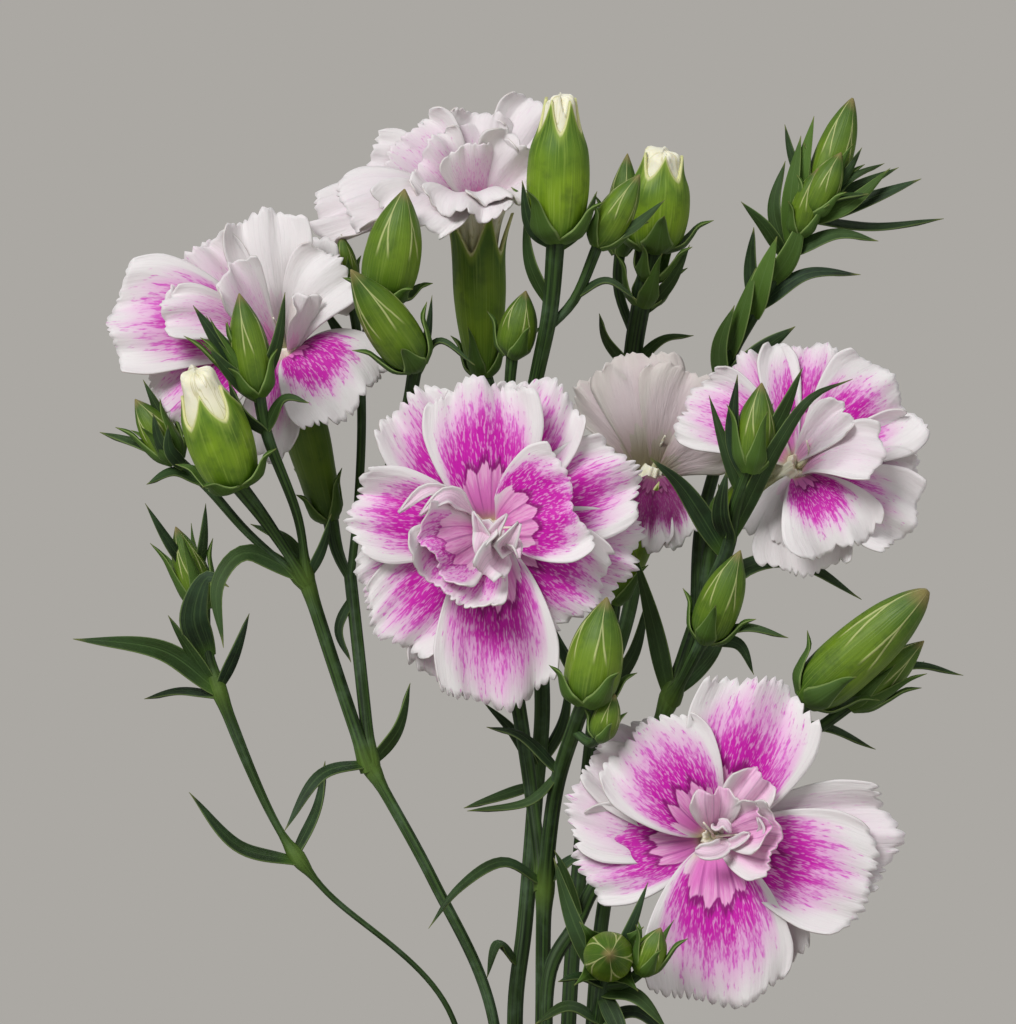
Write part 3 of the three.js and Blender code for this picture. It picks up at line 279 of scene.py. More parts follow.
def stemCoating(flow, look):
    ring = flow.read("ring", "Vector")
    along, swelling = flow.readAll("along", "tone")
    body = flow.body()
    ridges = flow.math("SINE", flow.math("ARCTAN2", ring.part(0), ring.part(1)) * look["ridges"])
    mottle = flow.noise(body, 210, 4, 0.6)
    streak = flow.grain(ring.part(0) * 3.0, ring.part(1) * 3.0, along * 40, 3, 0.6)
    colour = layered(look, "dark", [
        (streak.ease(0.3, 0.7), "green"),
        (mottle.ease(0.45, 0.8) * 0.45, "bloom"),
        (swelling * (0.3 + 0.6 * mottle), "knot"),
        (body.part(2).ease(0.112, 0.098) * 0.7, "straw"),
    ])
    relief = 0.25 * ridges + 0.5 * streak + 0.15 * mottle
    finishCoat(flow, colour, 0.5 + 0.2 * mottle, relief, 0.25, 0.0003, 0.28, (0.05, (0.3, 0.6, 0.2), 0.002))


budLook = {
    "bright": paint(126, 158, 24), "green": paint(80, 116, 22), "dark": paint(34, 62, 16),
    "light": paint(160, 184, 70), "vein": paint(156, 182, 74), "seam": paint(208, 212, 146),
    "cream": paint(222, 220, 160), "tip": paint(150, 128, 82), "lobes": 5, "twist": 0.35,
}


def budCoating(flow, look):  # closed buds and calyces: "edge" is how far below a tooth's margin, in mm
    around, along = flow.sheet()
    seed, tone, edge, lobe = flow.readAll("seed", "tone", "edge", "lobe")  # lobe is -1 on an open calyx
    body = flow.body()
    mottle = flow.noise(body, 330, 3, 0.6)
    wander = flow.grain(around * 9, along * 5, seed * 60, 2, 0.5)
    veins = flow.grain(around * 85, along * 1.6, seed * 35, 2, 0.55)
    gap = 1 - 2 * abs(flow.math("FRACT", around * look["lobes"] + look["twist"] * along + lobe) - 0.5)
    fork = flow.math("MAXIMUM", 0.8 - along, 0.0)
    seam = abs(gap + 0.12 * (wander - 0.5) - fork).ease(0.1, 0.03)
    seam = seam * along.ease(0.4, 0.52) * lobe.ease(-0.9, -0.1)
    colour = layered(look, "green", [
        (along.ease(0.05, 0.4), "bright"),
        ((along + 0.3 * (wander - 0.5)).ease(0.5, 0.95), "green"),
        (mottle.ease(0.45, 0.8) * 0.5, "dark"),
        (flow.noise(body, 95, 2, 0.5).ease(0.45, 0.75) * 0.6, "green"),
        (veins.ease(0.5, 0.72) * 0.4, "vein"),
        (veins.ease(0.5, 0.3) * 0.3, "green"),
        ((1 - tone) * 0.75, "dark"),
        (seam * 0.6, "seam"),
        (edge.ease(2.6, 0.5) * 0.55, "light"),
        (edge.ease(0.8, 0.15) * 0.85, "cream"),
        ((along + 0.1 * (wander - 0.5)).ease(0.86, 1.0) * 0.7 * edge.ease(5.0, 8.0), "tip"),
    ])
    finishCoat(flow, colour, 0.42 + 0.2 * mottle, veins + 0.3 * mottle + seam, 0.4, 0.0003, 0.4,
               (0.1, (0.4, 0.6, 0.2), 0.002))


soilLook = {"peat": paint(64, 47, 36), "dark": paint(34, 25, 19), "dry": paint(112, 88, 66)}


def soilCoating(flow, look):
    clods = flow.noise(flow.body(), 120, 5, 0.7)
    grit = flow.noise(flow.body(), 900, 3, 0.6)
    colour = layered(look, "dark", [
        (clods.ease(0.35, 0.65), "peat"),
        (grit.ease(0.52, 0.75) * 0.5, "dry"),
        (flow.read("seed").ease(0.55, 1.0) * 0.6, "dry"),
    ])
    finishCoat(flow, colour, 0.85 + 0.1 * grit, clods + 0.6 * grit, 0.9, 0.0012, 0.25)


potLook = {
    "clay": paint(156, 88, 62), "shade": paint(132, 70, 50), "dust": paint(176, 126, 100),
    # soil is a darker brown laid over the bottom of the pot
    "scuff": paint(188, 138, 112), "soil": paint(70, 50, 38),
}


def potCoating(flow, look):  # moulded terracotta-coloured plastic
    body = flow.body()
    cloud = flow.noise(body, 32, 4, 0.6)
    grain = flow.noise(body, 1400, 2, 0.5)
    drag = flow.noise(flow.reckon("MULTIPLY", body, (1.0, 1.0, 4.0)), 90, 5, 0.75)
    scuffs = drag.ease(0.6, 0.72)
    colour = layered(look, "shade", [
        (cloud.ease(0.3, 0.7), "clay"),
        (grain.ease(0.55, 0.8) * 0.2, "dust"),
        (scuffs * 0.35, "scuff"),
        # darker and browner towards the bottom of the pot, over its lowest 14 mm
        ((body.part(2) + 0.01 * (cloud - 0.5)).ease(0.014, 0.0) * 0.35, "soil"),
    ])
    finishCoat(flow, colour, 0.42 + 0.2 * cloud + 0.2 * scuffs, grain * 0.5 + drag, 0.25, 0.0004, 0.45)


petalCoat = newCoat("petal", petalLook, petalCoating)
creamCoat = newCoat("cream", creamLook, creamCoating)
leafCoat = newCoat("leaf", leafLook, leafCoating)
stemCoat = newCoat("stem", stemLook, stemCoating)
budCoat = newCoat("bud", budLook, budCoating)
soilCoat = newCoat("soil", soilLook, soilCoating)
potCoat = newCoat("pot", potLook, potCoating)
print("materials made")


def unit(vectors):
    return vectors / np.linalg.norm(vectors, axis=-1, keepdims=True)


def squareTo(axis):  # two directions so that across x along = axis
    hint = np.array((1.0, 0, 0) if abs(axis[2]) > 0.9 else (0, 0, 1.0))
    across = unit(np.cross(hint, axis))
    return across, np.cross(axis, across)


def endsOf(form, end="tip"):  # both ends of a bud or calyx, the direction between them and its length
    base, tip = np.array(form["base"], float), np.array(form[end], float)
    return base, tip, unit(tip - base), np.linalg.norm(tip - base)


def circle(count):  # equal angles round a circle
    return np.linspace(0, 2 * math.pi, count, endpoint=False)


def smoothPath(route, count):  # a curve through the points, cut into equal steps
    stops = np.array(route, float)
    stops = np.vstack([2 * stops[0] - stops[1], stops, 2 * stops[-1] - stops[-2]])
    pieces = []
    for a, b, c, d in zip(stops, stops[1:], stops[2:], stops[3:]):
        first, middle, last = (max(np.linalg.norm(q - p), 1e-6) ** 0.5 for p, q in ((a, b), (b, c), (c, d)))
        leave = ((b - a) / first - (c - a) / (first + middle) + (c - b) / middle) * middle
        arrive = ((c - b) / middle - (d - b) / (middle + last) + (d - c) / last) * middle
        t = np.linspace(0, 1, 24, endpoint=False)[:, None]
        pieces.append((2 * t**3 - 3 * t**2 + 1) * b + (t**3 - 2 * t**2 + t) * leave
                      + (3 * t**2 - 2 * t**3) * c + (t**3 - t**2) * arrive)
    fine = np.vstack([*pieces, stops[-2]])
    walked = np.concatenate([[0], np.cumsum(np.linalg.norm(np.diff(fine, axis=0), axis=1))])
    steps = np.linspace(0, walked[-1], count)
    return np.stack([np.interp(steps, walked, fine[:, k]) for k in range(fine.shape[1])], axis=1)


def ringSkin(rings, along, coat, **attributes):
    # closed skin over rings of points (rings, sides, 3), with a flat end at each side
    count, sides = rings.shape[:2]
    faces, coordinates = [], []
    for ring in range(count - 1):
        for side in range(sides):
            after = (side + 1) % sides
            low, high = ring * sides, (ring + 1) * sides
            faces.append((low + side, low + after, high + after, high + side))
            left, right = side / sides, (side + 1) / sides
            coordinates += [(left, along[ring]), (right, along[ring]), (right, along[ring + 1]),
                            (left, along[ring + 1])]
    for ring, order in ((0, -1), (count - 1, 1)):
        faces.append(tuple(ring * sides + np.arange(sides)[::order]))
        coordinates += [(0.5, along[ring])] * sides
    spread = {name: np.broadcast_to(value, (count, sides)).ravel() for name, value in attributes.items()}
    points = rings.reshape(-1, 3)
    return {"points": points, "faces": faces, "uv": coordinates, "coat": coat, "attributes": spread}


def sheetSkin(grid, thickness, across, along, coat, **attributes):
    # thin closed sheet on a grid of points (rows, columns, 3); front says which face a point is on
    rows, columns = grid.shape[:2]
    normal = unit(np.cross(np.gradient(grid, axis=0), np.gradient(grid, axis=1)))
    half = thickness / 2 * normal
    spots = np.vstack([(grid + half).reshape(-1, 3), (grid - half).reshape(-1, 3)])
    total = rows * columns
    flat = np.stack([across, along], axis=-1).reshape(-1, 2)
    number = np.arange(total).reshape(rows, columns)
    a, b = number[:-1, :-1].ravel(), number[:-1, 1:].ravel()
    c, d = number[1:, 1:].ravel(), number[1:, :-1].ravel()
    front = np.stack([a, d, c, b], axis=1)
    border = np.concatenate([number[0, :-1], number[:-1, -1], number[-1, :0:-1], number[:0:-1, 0]])
    after = np.roll(border, -1)
    walls = np.stack([border, after, after + total, border + total], axis=1)
    faces = np.vstack([front, front[:, ::-1] + total, walls])
    coordinates = np.vstack([flat, flat])[faces.ravel()]
    spread = {name: np.full(2 * total, value) for name, value in attributes.items()}
    spread["front"] = np.repeat([1.0, 0.0], total)
    faces = [tuple(face) for face in faces.tolist()]
    return {"points": spots, "faces": faces, "uv": coordinates, "coat": coat, "attributes": spread}


def turnedSkin(base, tip, shares, radii, coat, **attributes):
    # round body on a straight axis; radii may differ round the axis (rings, sides)
    axis = tip - base
    across, along = squareTo(unit(axis))
    turn = circle(radii.shape[1])[None, :, None]
    shares = np.asarray(shares)
    centre = base + shares[..., None].reshape(len(radii), -1, 1) * axis
    rings = centre + radii[..., None] * (np.cos(turn) * across + np.sin(turn) * along)
    return ringSkin(rings, shares.reshape(len(radii), -1).mean(axis=1), coat, **attributes)


def latheSkin(outline, sides, along, coat, bumps=0, **attributes):  # outline is radius and height in mm
    turn = circle(sides)
    rings = np.stack([outline[:, :1] * np.cos(turn), outline[:, :1] * np.sin(turn),
                      np.broadcast_to(outline[:, 1:] + bumps, (len(outline), sides))], axis=-1)
    return ringSkin(rings, along, coat, **attributes)


def linkedObject(name, mesh):
    made = bpy.data.objects.new(name, mesh)
    scene.collection.objects.link(made)
    return made


def addNumbers(mesh, key, values):  # an attribute of numbers or of directions
    kind, slot = ("FLOAT_VECTOR", "vector") if values.ndim == 2 else ("FLOAT", "value")
    mesh.attributes.new(key, kind, "POINT").data.foreach_set(slot, values.astype(np.float32).ravel())


def makeObject(name, skins):
    faces, coats, start = [], [], 0
    for one in skins:
        if one["coat"] not in coats:
            coats.append(one["coat"])
        faces += [tuple(corner + start for corner in face) for face in one["faces"]]
        start += len(one["points"])
    mesh = bpy.data.meshes.new(name)
    mesh.from_pydata((np.vstack([one["points"] for one in skins]) * mm).tolist(), [], faces)
    layer = mesh.uv_layers.new(name="UVMap")
    layer.data.foreach_set("uv", np.concatenate([np.asarray(one["uv"], float).ravel() for one in skins]))
    for key in sorted({key for one in skins for key in one["attributes"]}):
        values = [one["attributes"].get(key, np.zeros(len(one["points"]))) for one in skins]
        addNumbers(mesh, key, np.concatenate(values))
    for coat in coats:
        mesh.materials.append(coat)
    slots = np.concatenate([np.full(len(one["faces"]), coats.index(one["coat"])) for one in skins])
    mesh.polygons.foreach_set("material_index", slots.astype(np.int32))
    mesh.polygons.foreach_set("use_smooth", np.ones(len(faces), bool))
    return linkedObject(name, mesh)


def pathObject(name, paths):  # each path has its points, and a number, a direction or a row of numbers
    mesh = bpy.data.meshes.new(name)
    edges, start = [], 0
    for path in paths:
        edges += [(start + k, start + k + 1) for k in range(len(path["points"]) - 1)]
        start += len(path["points"])
    mesh.from_pydata((np.vstack([path["points"] for path in paths]) * mm).tolist(), edges, [])
    for key in [key for key in paths[0] if key != "points"]:
        direction = np.shape(paths[0][key]) == (3,)
        values = [np.broadcast_to(path[key], path["points"].shape if direction else len(path["points"]))
                  for path in paths]
        addNumbers(mesh, key, np.concatenate(values))
    return linkedObject(name, mesh)


def faceOutwards(made):  # every closed shape in the mesh gets its faces turned outwards
    with bpy.context.temp_override(active_object=made, object=made, selected_objects=[made]):
        bpy.context.view_layer.objects.active = made
        bpy.ops.object.mode_set(mode="EDIT")
        bpy.ops.mesh.select_all(action="SELECT")
        bpy.ops.mesh.normals_make_consistent(inside=False)
        bpy.ops.object.mode_set(mode="OBJECT")


def joinInto(made, others):
    if others:
        with bpy.context.temp_override(active_object=made, selected_editable_objects=[made, *others]):
            bpy.ops.object.join()
    return made


def pieceName(node):  # stem_left becomes stemLeft
    first, *rest = node.split("_")
    return first + "".join(word.title() for word in rest)


def settle(made, node):  # turns the faces out and hands the piece to the frame
    faceOutwards(made)
    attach(made, "root")
    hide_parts(node)
    print(made.name, "in place,", len(made.data.polygons), "faces")


arrows = ("face", "ring", "spine", "side", "rise")  # attributes that hold a place or a direction


def newTree(name, sizes):  # a tree of geometry nodes with its named inputs
    tree = bpy.data.node_groups.new(name, "GeometryNodeTree")
    for way in ("INPUT", "OUTPUT"):
        tree.interface.new_socket("Geometry", in_out=way, socket_type="NodeSocketGeometry")
    for key, value in sizes.items():
        kind = "NodeSocketInt" if isinstance(value, int) else "NodeSocketFloat"
        tree.interface.new_socket(key, in_out="INPUT", socket_type=kind).default_value = value
    tree.interface.new_socket("Coat", in_out="INPUT", socket_type="NodeSocketMaterial")
    entry = tree.nodes.new("NodeGroupInput")
    return Flow(tree), {key: Flow(tree, entry.outputs[key]) for key in (*sizes, "Coat", "Geometry")}


def closeTree(flow, shape, coat):
    shape = flow.node("GeometryNodeRealizeInstances", None, {"Geometry": shape})
    shape = flow.node("GeometryNodeSetMaterial", None, {"Geometry": shape, "Material": coat})
    flow.node("NodeGroupOutput", None, {"Geometry": shape})
    return flow.tree


def store(flow, shape, name, value, kind="FLOAT", domain="POINT"):
    settings = {"data_type": "FLOAT_VECTOR" if name in arrows else kind, "domain": domain}
    values = {"Geometry": shape, "Name": name, "Value": value}
    return flow.node("GeometryNodeStoreNamedAttribute", settings, values)


def recall(flow, name):
    settings = {"data_type": "FLOAT_VECTOR" if name in arrows else "FLOAT"}
    return flow.node("GeometryNodeInputNamedAttribute", settings, {"Name": name})


def forget(flow, shape, *names):
    for name in names:
        shape = flow.node("GeometryNodeRemoveAttribute", None, {"Geometry": shape, "Name": name})
    return shape


def sweep(flow, curve, sides, **scale):  # round section along a curve; ring is the direction from its middle
    profile = flow.node("GeometryNodeCurvePrimitiveCircle", None, {"Resolution": sides, "Radius": 1.0})
    profile = store(flow, profile, "ring", flow.node("GeometryNodeInputPosition"))
    values = {"Curve": curve, "Profile Curve": profile, **scale, "Fill Caps": True}
    return flow.node("GeometryNodeCurveToMesh", None, values)


def grow(source, tree, **sizes):  # runs a tree on an object and turns it into a plain mesh
    modifier = source.modifiers.new(tree.name, "NODES")
    modifier.node_group = tree
    sockets = {item.name: item.identifier for item in tree.interface.items_tree if item.in_out == "INPUT"}
    for key, value in sizes.items():
        modifier[sockets[key]] = value
    evaluated = source.evaluated_get(bpy.context.evaluated_depsgraph_get())
    grown = bpy.data.meshes.new_from_object(evaluated)
    source.modifiers.remove(modifier)
    source.data = grown
    grown.polygons.foreach_set("use_smooth", np.ones(len(grown.polygons), bool))
    return source


def leafTree():
    # blade swept along each path: a keeled, slightly channelled section that narrows to the tip
    flow, size = newTree("leafTree", {
        "Sides": 14, "Thickness": 0.0007, "Keel": 0.0004, "Channel": 0.22, "Foot": 0.6,
        "Widest": 0.3, "Taper": 1.7, "Lowest": 0.03,
    })
    curve = flow.node("GeometryNodeMeshToCurve", None, {"Mesh": size["Geometry"]})
    share = recall(flow, "share")
    rising = flow.math("SINE", flow.math("MINIMUM", share / size["Widest"], 1.0) * (math.pi / 2))
    falling = flow.math("MAXIMUM", (share - size["Widest"]) / (1 - size["Widest"]), 0.0)
    fullness = (size["Foot"] + (1 - size["Foot"]) * rising) * (1 - falling ** size["Taper"])
    half = flow.math("MAXIMUM", fullness, size["Lowest"]) * recall(flow, "width") * 0.5
    tangent = flow.node("GeometryNodeInputTangent")
    across = flow.reckon("NORMALIZE", flow.reckon("CROSS_PRODUCT", tangent, recall(flow, "face")))
    curve = store(flow, curve, "spine", flow.node("GeometryNodeInputPosition"))
    curve = store(flow, curve, "side", across.scaled(half))
    curve = store(flow, curve, "rise", flow.reckon("CROSS_PRODUCT", across, tangent))
    curve = store(flow, curve, "half", half)
    blade = sweep(flow, curve, size["Sides"])
    ring = recall(flow, "ring")
    x, y = ring.part(0), ring.part(1)
    slim = flow.math("MINIMUM", (1.02 - recall(flow, "share")) * 5, 1.0)
    below = flow.math("MAXIMUM", y * -1, 0.0)
    rib = below * ((1 - abs(x)) ** 2) * size["Keel"]
    depth = (y * size["Thickness"] * 0.5 - rib) * slim + size["Channel"] * recall(flow, "half") * x * x
    shift = flow.reckon("ADD", recall(flow, "side").scaled(x), recall(flow, "rise").scaled(depth))
    spot = flow.reckon("ADD", recall(flow, "spine"), shift)
    blade = flow.node("GeometryNodeSetPosition", None, {"Geometry": blade, "Position": spot})
    blade = store(flow, blade, "under", below)
    blade = store(flow, blade, "UVMap", flow.vector(x * 0.5 + 0.5, recall(flow, "share")), "FLOAT2", "CORNER")
    blade = forget(flow, blade, "spine", "side", "rise", "half", "ring", "share", "width", "face")
    return closeTree(flow, blade, size["Coat"])


def stemTree():  # round stem swept along each path
    flow, size = newTree("stemTree", {"Sides": 16})
    curve = flow.node("GeometryNodeMeshToCurve", None, {"Mesh": size["Geometry"]})
    stem = sweep(flow, curve, size["Sides"], Scale=recall(flow, "radius"))
    return closeTree(flow, forget(flow, stem, "radius"), size["Coat"])


leafGrower = leafTree()
stemGrower = stemTree()
print("leaf and stem trees made")


# blooms: each petal has its tip, its width, the phase of its waves, where its upper side looks
# and the point that it bends towards, all in millimetres; without a face it lies open round the bloom
behind = {"lift": 4, "below": 2.5}  # for a petal of the lower layer


def petal(tip, width, phase, face=None, bend=None, **more):
    placed = {"face": face, "bend": bend} if face else {}
    return {"tip": tip, "width": width, "phase": phase, **placed, **more}


flowerFront = {
    "throat": (-6, -18, 207), "base": (-6, 5, 205), "mouth": 3.5, "claw": 7, "flare": 0.8, "mark": 1.08,
    "petals": [
        petal((-7.5, -19, 230.1), 18, 0.5),
        petal((3.4, -15.5, 229.8), 15, 1.5, **behind),
        petal((-18.8, -15, 227.7), 16, 2.5, **behind),
        petal((-27.6, -19.5, 210.2), 14.5, 0, below=1.2, mark=1.15),
        petal((-22.5, -18, 190.5), 15, 2, below=1.4),
        petal((-25.5, -14.5, 196.5), 14, 3, **behind),
        petal((-4.5, -20, 179.9), 18.5, 0.8, shift=0.01, mark=0.84),
        petal((-12, -15.5, 182.5), 16, 1.9, mark=0.8, **behind),
        petal((10.9, -18, 196.2), 16, 2.2, below=1.4, mark=1.15),
        petal((16.6, -15.5, 216), 15.5, 0.3, **behind),
        petal((15.9, -14, 200.7), 15, 1.3, **behind),
        petal((17.6, -13, 208.6), 13, 2.3, lift=3, below=3, mark=0.8),
        petal((6.8, -24.5, 212.4), 18.5, 2.4, cup=1.2, teeth=0.4, mark=1.2, wave=0.5, round=0.0, shift=0.15),
        petal((-14.4, -27, 197), 17.5, 0.2, cup=3.6, curl=1.8, teeth=0.5, shift=0.06, mark=0.9),
        petal((-16, -28, 202.8), 14, 1.2, cup=2.2, curl=1.2, teeth=0.6, shift=0.3, mark=0.6),
    ],
    "curls": [
        ([(-6.4, -19, 206), (-6.8, -25.6, 205.6), (-7.6, -27.4, 207.6), (-8.4, -27.6, 209.8)],
         (1.2, 2.6, 2.6, 0.5), (-0.2, -1, 0.1)),
        ([(-5.8, -19, 206), (-5.8, -25.8, 205.8), (-4.8, -27.2, 207.6), (-3.4, -27.6, 209.4)],
         (1.2, 2.4, 2.2, 0.5), (0.1, -1, 0.2)),
        ([(-6.4, -19, 206.4), (-6.6, -26.6, 206.6), (-7.4, -28.2, 205.2), (-7.8, -28.4, 203.2)],
         (1.4, 3.4, 3.8, 0.9), (-0.2, -1, 0)),
        ([(-4.6, -19, 205.6), (-5.4, -26, 203), (-6.2, -28.4, 202.4), (-7.4, -29, 200.6)],
         (2.5, 6, 6.4, 4.6), (0.6, -0.8, 0.1), 0.6),
        ([(-4.8, -19, 205.6), (-4, -25.6, 204.6), (-2.8, -27.4, 206.2), (-1.6, -27.6, 208.3)],
         (1.4, 3.4, 3.4, 0.7), (0.3, -0.9, 0.1), 0.4),
        ([(-4.4, -19, 205.4), (-3, -24.6, 205.4), (-1.9, -26.4, 204.6), (-1.7, -26.8, 202.9)],
         (1.2, 3, 2.6, 0.7), (0.4, -0.9, 0.1)),
        ([(-7.4, -18.5, 208), (-10.6, -22.4, 211.6), (-14.8, -24.4, 213), (-19.4, -25, 209.6)],
         (0.3, 0.5, 1.8, 1.9, 0.4), (0, -1, 0.3)),
        ([(-7, -18.5, 207.6), (-9.6, -22, 210.6), (-12.2, -24.6, 212.2), (-16.2, -26, 209.3)],
         (0.3, 0.6, 3.2, 2, 0.4), (0.1, -1, 0.2)),
    ],
}

flowerLow = {
    "throat": (27.1, -20, 161.7), "base": (26, 1, 159.5), "mouth": 3.5, "claw": 7, "flare": 0.8,
    "mark": 0.88,
    "petals": [
        petal((35.8, -20.5, 185.7), 20, 0.6, below=1.4),
        petal((14.6, -22, 178), 18.5, 1.7),
        petal((5.4, -17, 169), 18, 0.2, lift=4, below=3, mark=0.45),
        petal((9.5, -16, 176.8), 15, 2.1, lift=4, below=3.6, mark=0.4),
        petal((6, -17.5, 158), 15.5, 1.1, lift=4, below=1.6, mark=0.9),
        petal((27.6, -22, 136.1), 22.5, 0, shift=-0.03),
        petal((34, -17.5, 138.8), 19, 2.4, mark=0.3, **behind),
        petal((51.4, -20.5, 154), 18.5, 0.9, below=1.4, shift=-0.06, mark=1),
        petal((55.4, -17, 161.5), 17, 2, mark=0.3, **behind),
        petal((27, -26.5, 169.4), 7.5, 0.4, cup=1.4, wave=1.1, teeth=0.4, shift=0.9, mark=0.3),
        petal((34.6, -25, 171.6), 7.5, 1.4, cup=1.4, teeth=0.4, shift=0.9, mark=0.3),
        petal((37.6, -26.5, 160.6), 12, 2.3, cup=3.4, curl=1.6, teeth=0.4, shift=0.9, mark=0.36),
        petal((36, -28, 164.4), 8, 0.9, cup=2.8, curl=1.4, teeth=0.3, shift=0.9, mark=0.4),
    ],
    "curls": [
        ([(29, -19.5, 160.5), (33, -25, 161), (34.2, -27, 163.2), (33.4, -27.8, 165)], (1, 2.4, 2.2, 0.7),
         (-0.8, -0.7, 0.2)),
        ([(27.6, -19.5, 161), (29.5, -24.5, 160.8), (32.2, -26.5, 162.5)], (1, 1.8, 1.5), (0, -1, 0.3)),
        ([(27.6, -19.5, 161), (28.4, -25, 160.6), (26.6, -26.8, 159.9), (24.2, -26.4, 159.9)],
         (1, 2, 2.8, 2.2), (0, -1, 0.1)),
        ([(28, -19.5, 162.4), (27.6, -24.5, 163.6), (28.6, -25.8, 164), (29.4, -25.6, 162.6)],
         (1, 2, 1.8, 1), (0, -1, 0.4)),
    ],
}

flowerLeft = {
    "throat": (-37, -2, 234.8), "base": (-30.3, 8, 208.5), "mouth": 3.5, "claw": 7, "flare": 1.1,
    "petals": [
        petal((-63.2, -7, 238.4), 19, 0.4, (-0.25, -0.9, 0.3), (-48, -9, 241), teeth=0.4),
        petal((-55.5, -9, 223.6), 15, 1.6, (-0.2, -0.9, 0.2), (-44, -8, 236)),
        petal((-52, -4, 248.2), 15, 2.5, (-0.3, -0.8, 0.5), (-44, -6, 240), cup=2, ruffle=1.3, mark=0.4),
        petal((-46.5, 0, 252), 14, 0.9, (-0.1, -0.9, 0.3), (-42, -3, 242), ruffle=1.3, mark=0.35),
        petal((-39.9, -3, 255.4), 13.5, 1.9, (0.1, -0.95, 0.1), (-39, -6, 244), cup=2.4, mark=0.14),
        petal((-33.4, 2, 252.4), 12, 0.1, (0.3, -0.8, 0.3), (-36, -2, 243), mark=0.12),
        petal((-27, -6, 247), 12.5, 1.2, (0.1, -0.85, 0.5), (-35, -9, 243), mark=0.12),
        petal((-33.2, -10.5, 242.4), 6, 2.2, (0.6, -0.8, 0), (-35, -8, 236.5), teeth=0.3, mark=0.2),
        petal((-25.8, -8, 224.2), 18.5, 0.7, (0.15, -0.95, 0.25), (-33, -9, 236), shift=-0.18, mark=1.4),
        petal((-39.5, -8, 216.5), 9, 1.5, (0, -1, 0.1), (-38, -8, 231), shift=-0.2, mark=0.7),
        petal((-55.2, -12, 238.8), 9.5, 2.8, (-0.1, -0.9, 0.4), (-45, -12, 241), mark=0.5),
        petal((-45, -12, 246.5), 9, 1, (0.2, -0.9, 0.3), (-42, -11, 240), cup=2, mark=0.4),
        petal((-48, 12, 241.5), 16, 0.3, mark=0.5),
        petal((-30, 13, 240), 16, 2, mark=0.5),
    ],
}

flowerTop = {
    "throat": (-8, 12, 256.5), "base": (-7.2, 14, 230.1), "mouth": 4.1, "claw": 5.5, "flare": 1.6,
    "mark": 0.24, "ruffle": 1.0, "wave": 1.0,
    "petals": [
        petal((-33.3, 10, 253), 13, 0.3, (-0.1, -0.65, 0.75), (-20, 8, 258.5), teeth=0.5),
        petal((-28.6, 3, 255), 15, 2.3, (-0.2, -0.7, 0.65), (-17, 3, 260)),
        petal((-19.5, -4, 252.4), 15.5, 0.8, (-0.15, -0.75, 0.6), (-13, -1, 260)),
        petal((-10, -6, 253.6), 14, 1.8, (0.05, -0.8, 0.55), (-9, -2, 260.5)),
        petal((-2, -3, 256), 13, 2.8, (0.25, -0.8, 0.5), (-5, -1, 261)),
        petal((3.4, 6, 259), 13, 0.2, (0.5, -0.6, 0.6), (-3, 5, 261)),
        petal((-26, 11, 261.6), 15, 0.1, (-0.35, -0.8, 0.45), (-16, 9, 260)),
        petal((-20.2, 12, 266.4), 15.5, 1.1, (-0.2, -0.9, 0.3), (-13, 10, 262), mark=0.4),
        petal((-11.5, 14, 268.4), 15.5, 2.1, (0, -0.95, 0.2), (-10, 12, 263), mark=0.36),
        petal((-3.8, 15, 270), 16, 1.6, (0.1, -0.95, 0.2), (-6, 13, 265)),
        petal((4, 16, 270.6), 15, 0.6, (0.2, -0.9, 0.2), (-2, 14, 264)),
        petal((-16.4, 4, 264.2), 13, 2.6, (-0.15, -0.9, 0.4), (-12, 3, 260.5), cup=2, mark=0.42),
        petal((-8.2, 1, 265.4), 12, 1.3, (0.1, -0.9, 0.3), (-8, 2, 261), cup=2.2, mark=0.4),
        petal((0.2, 2, 265), 13, 0.9, (0.3, -0.9, 0.2), (-4.5, 2, 261)),
        petal((-8, 31, 257), 17, 2, lift=7),
        petal((5, 25, 260), 16, 0.4, lift=7),
        petal((-22, 26, 257), 17, 1, lift=7),
        petal((-10, 22, 268), 15, 2.4, lift=12),
    ],
}

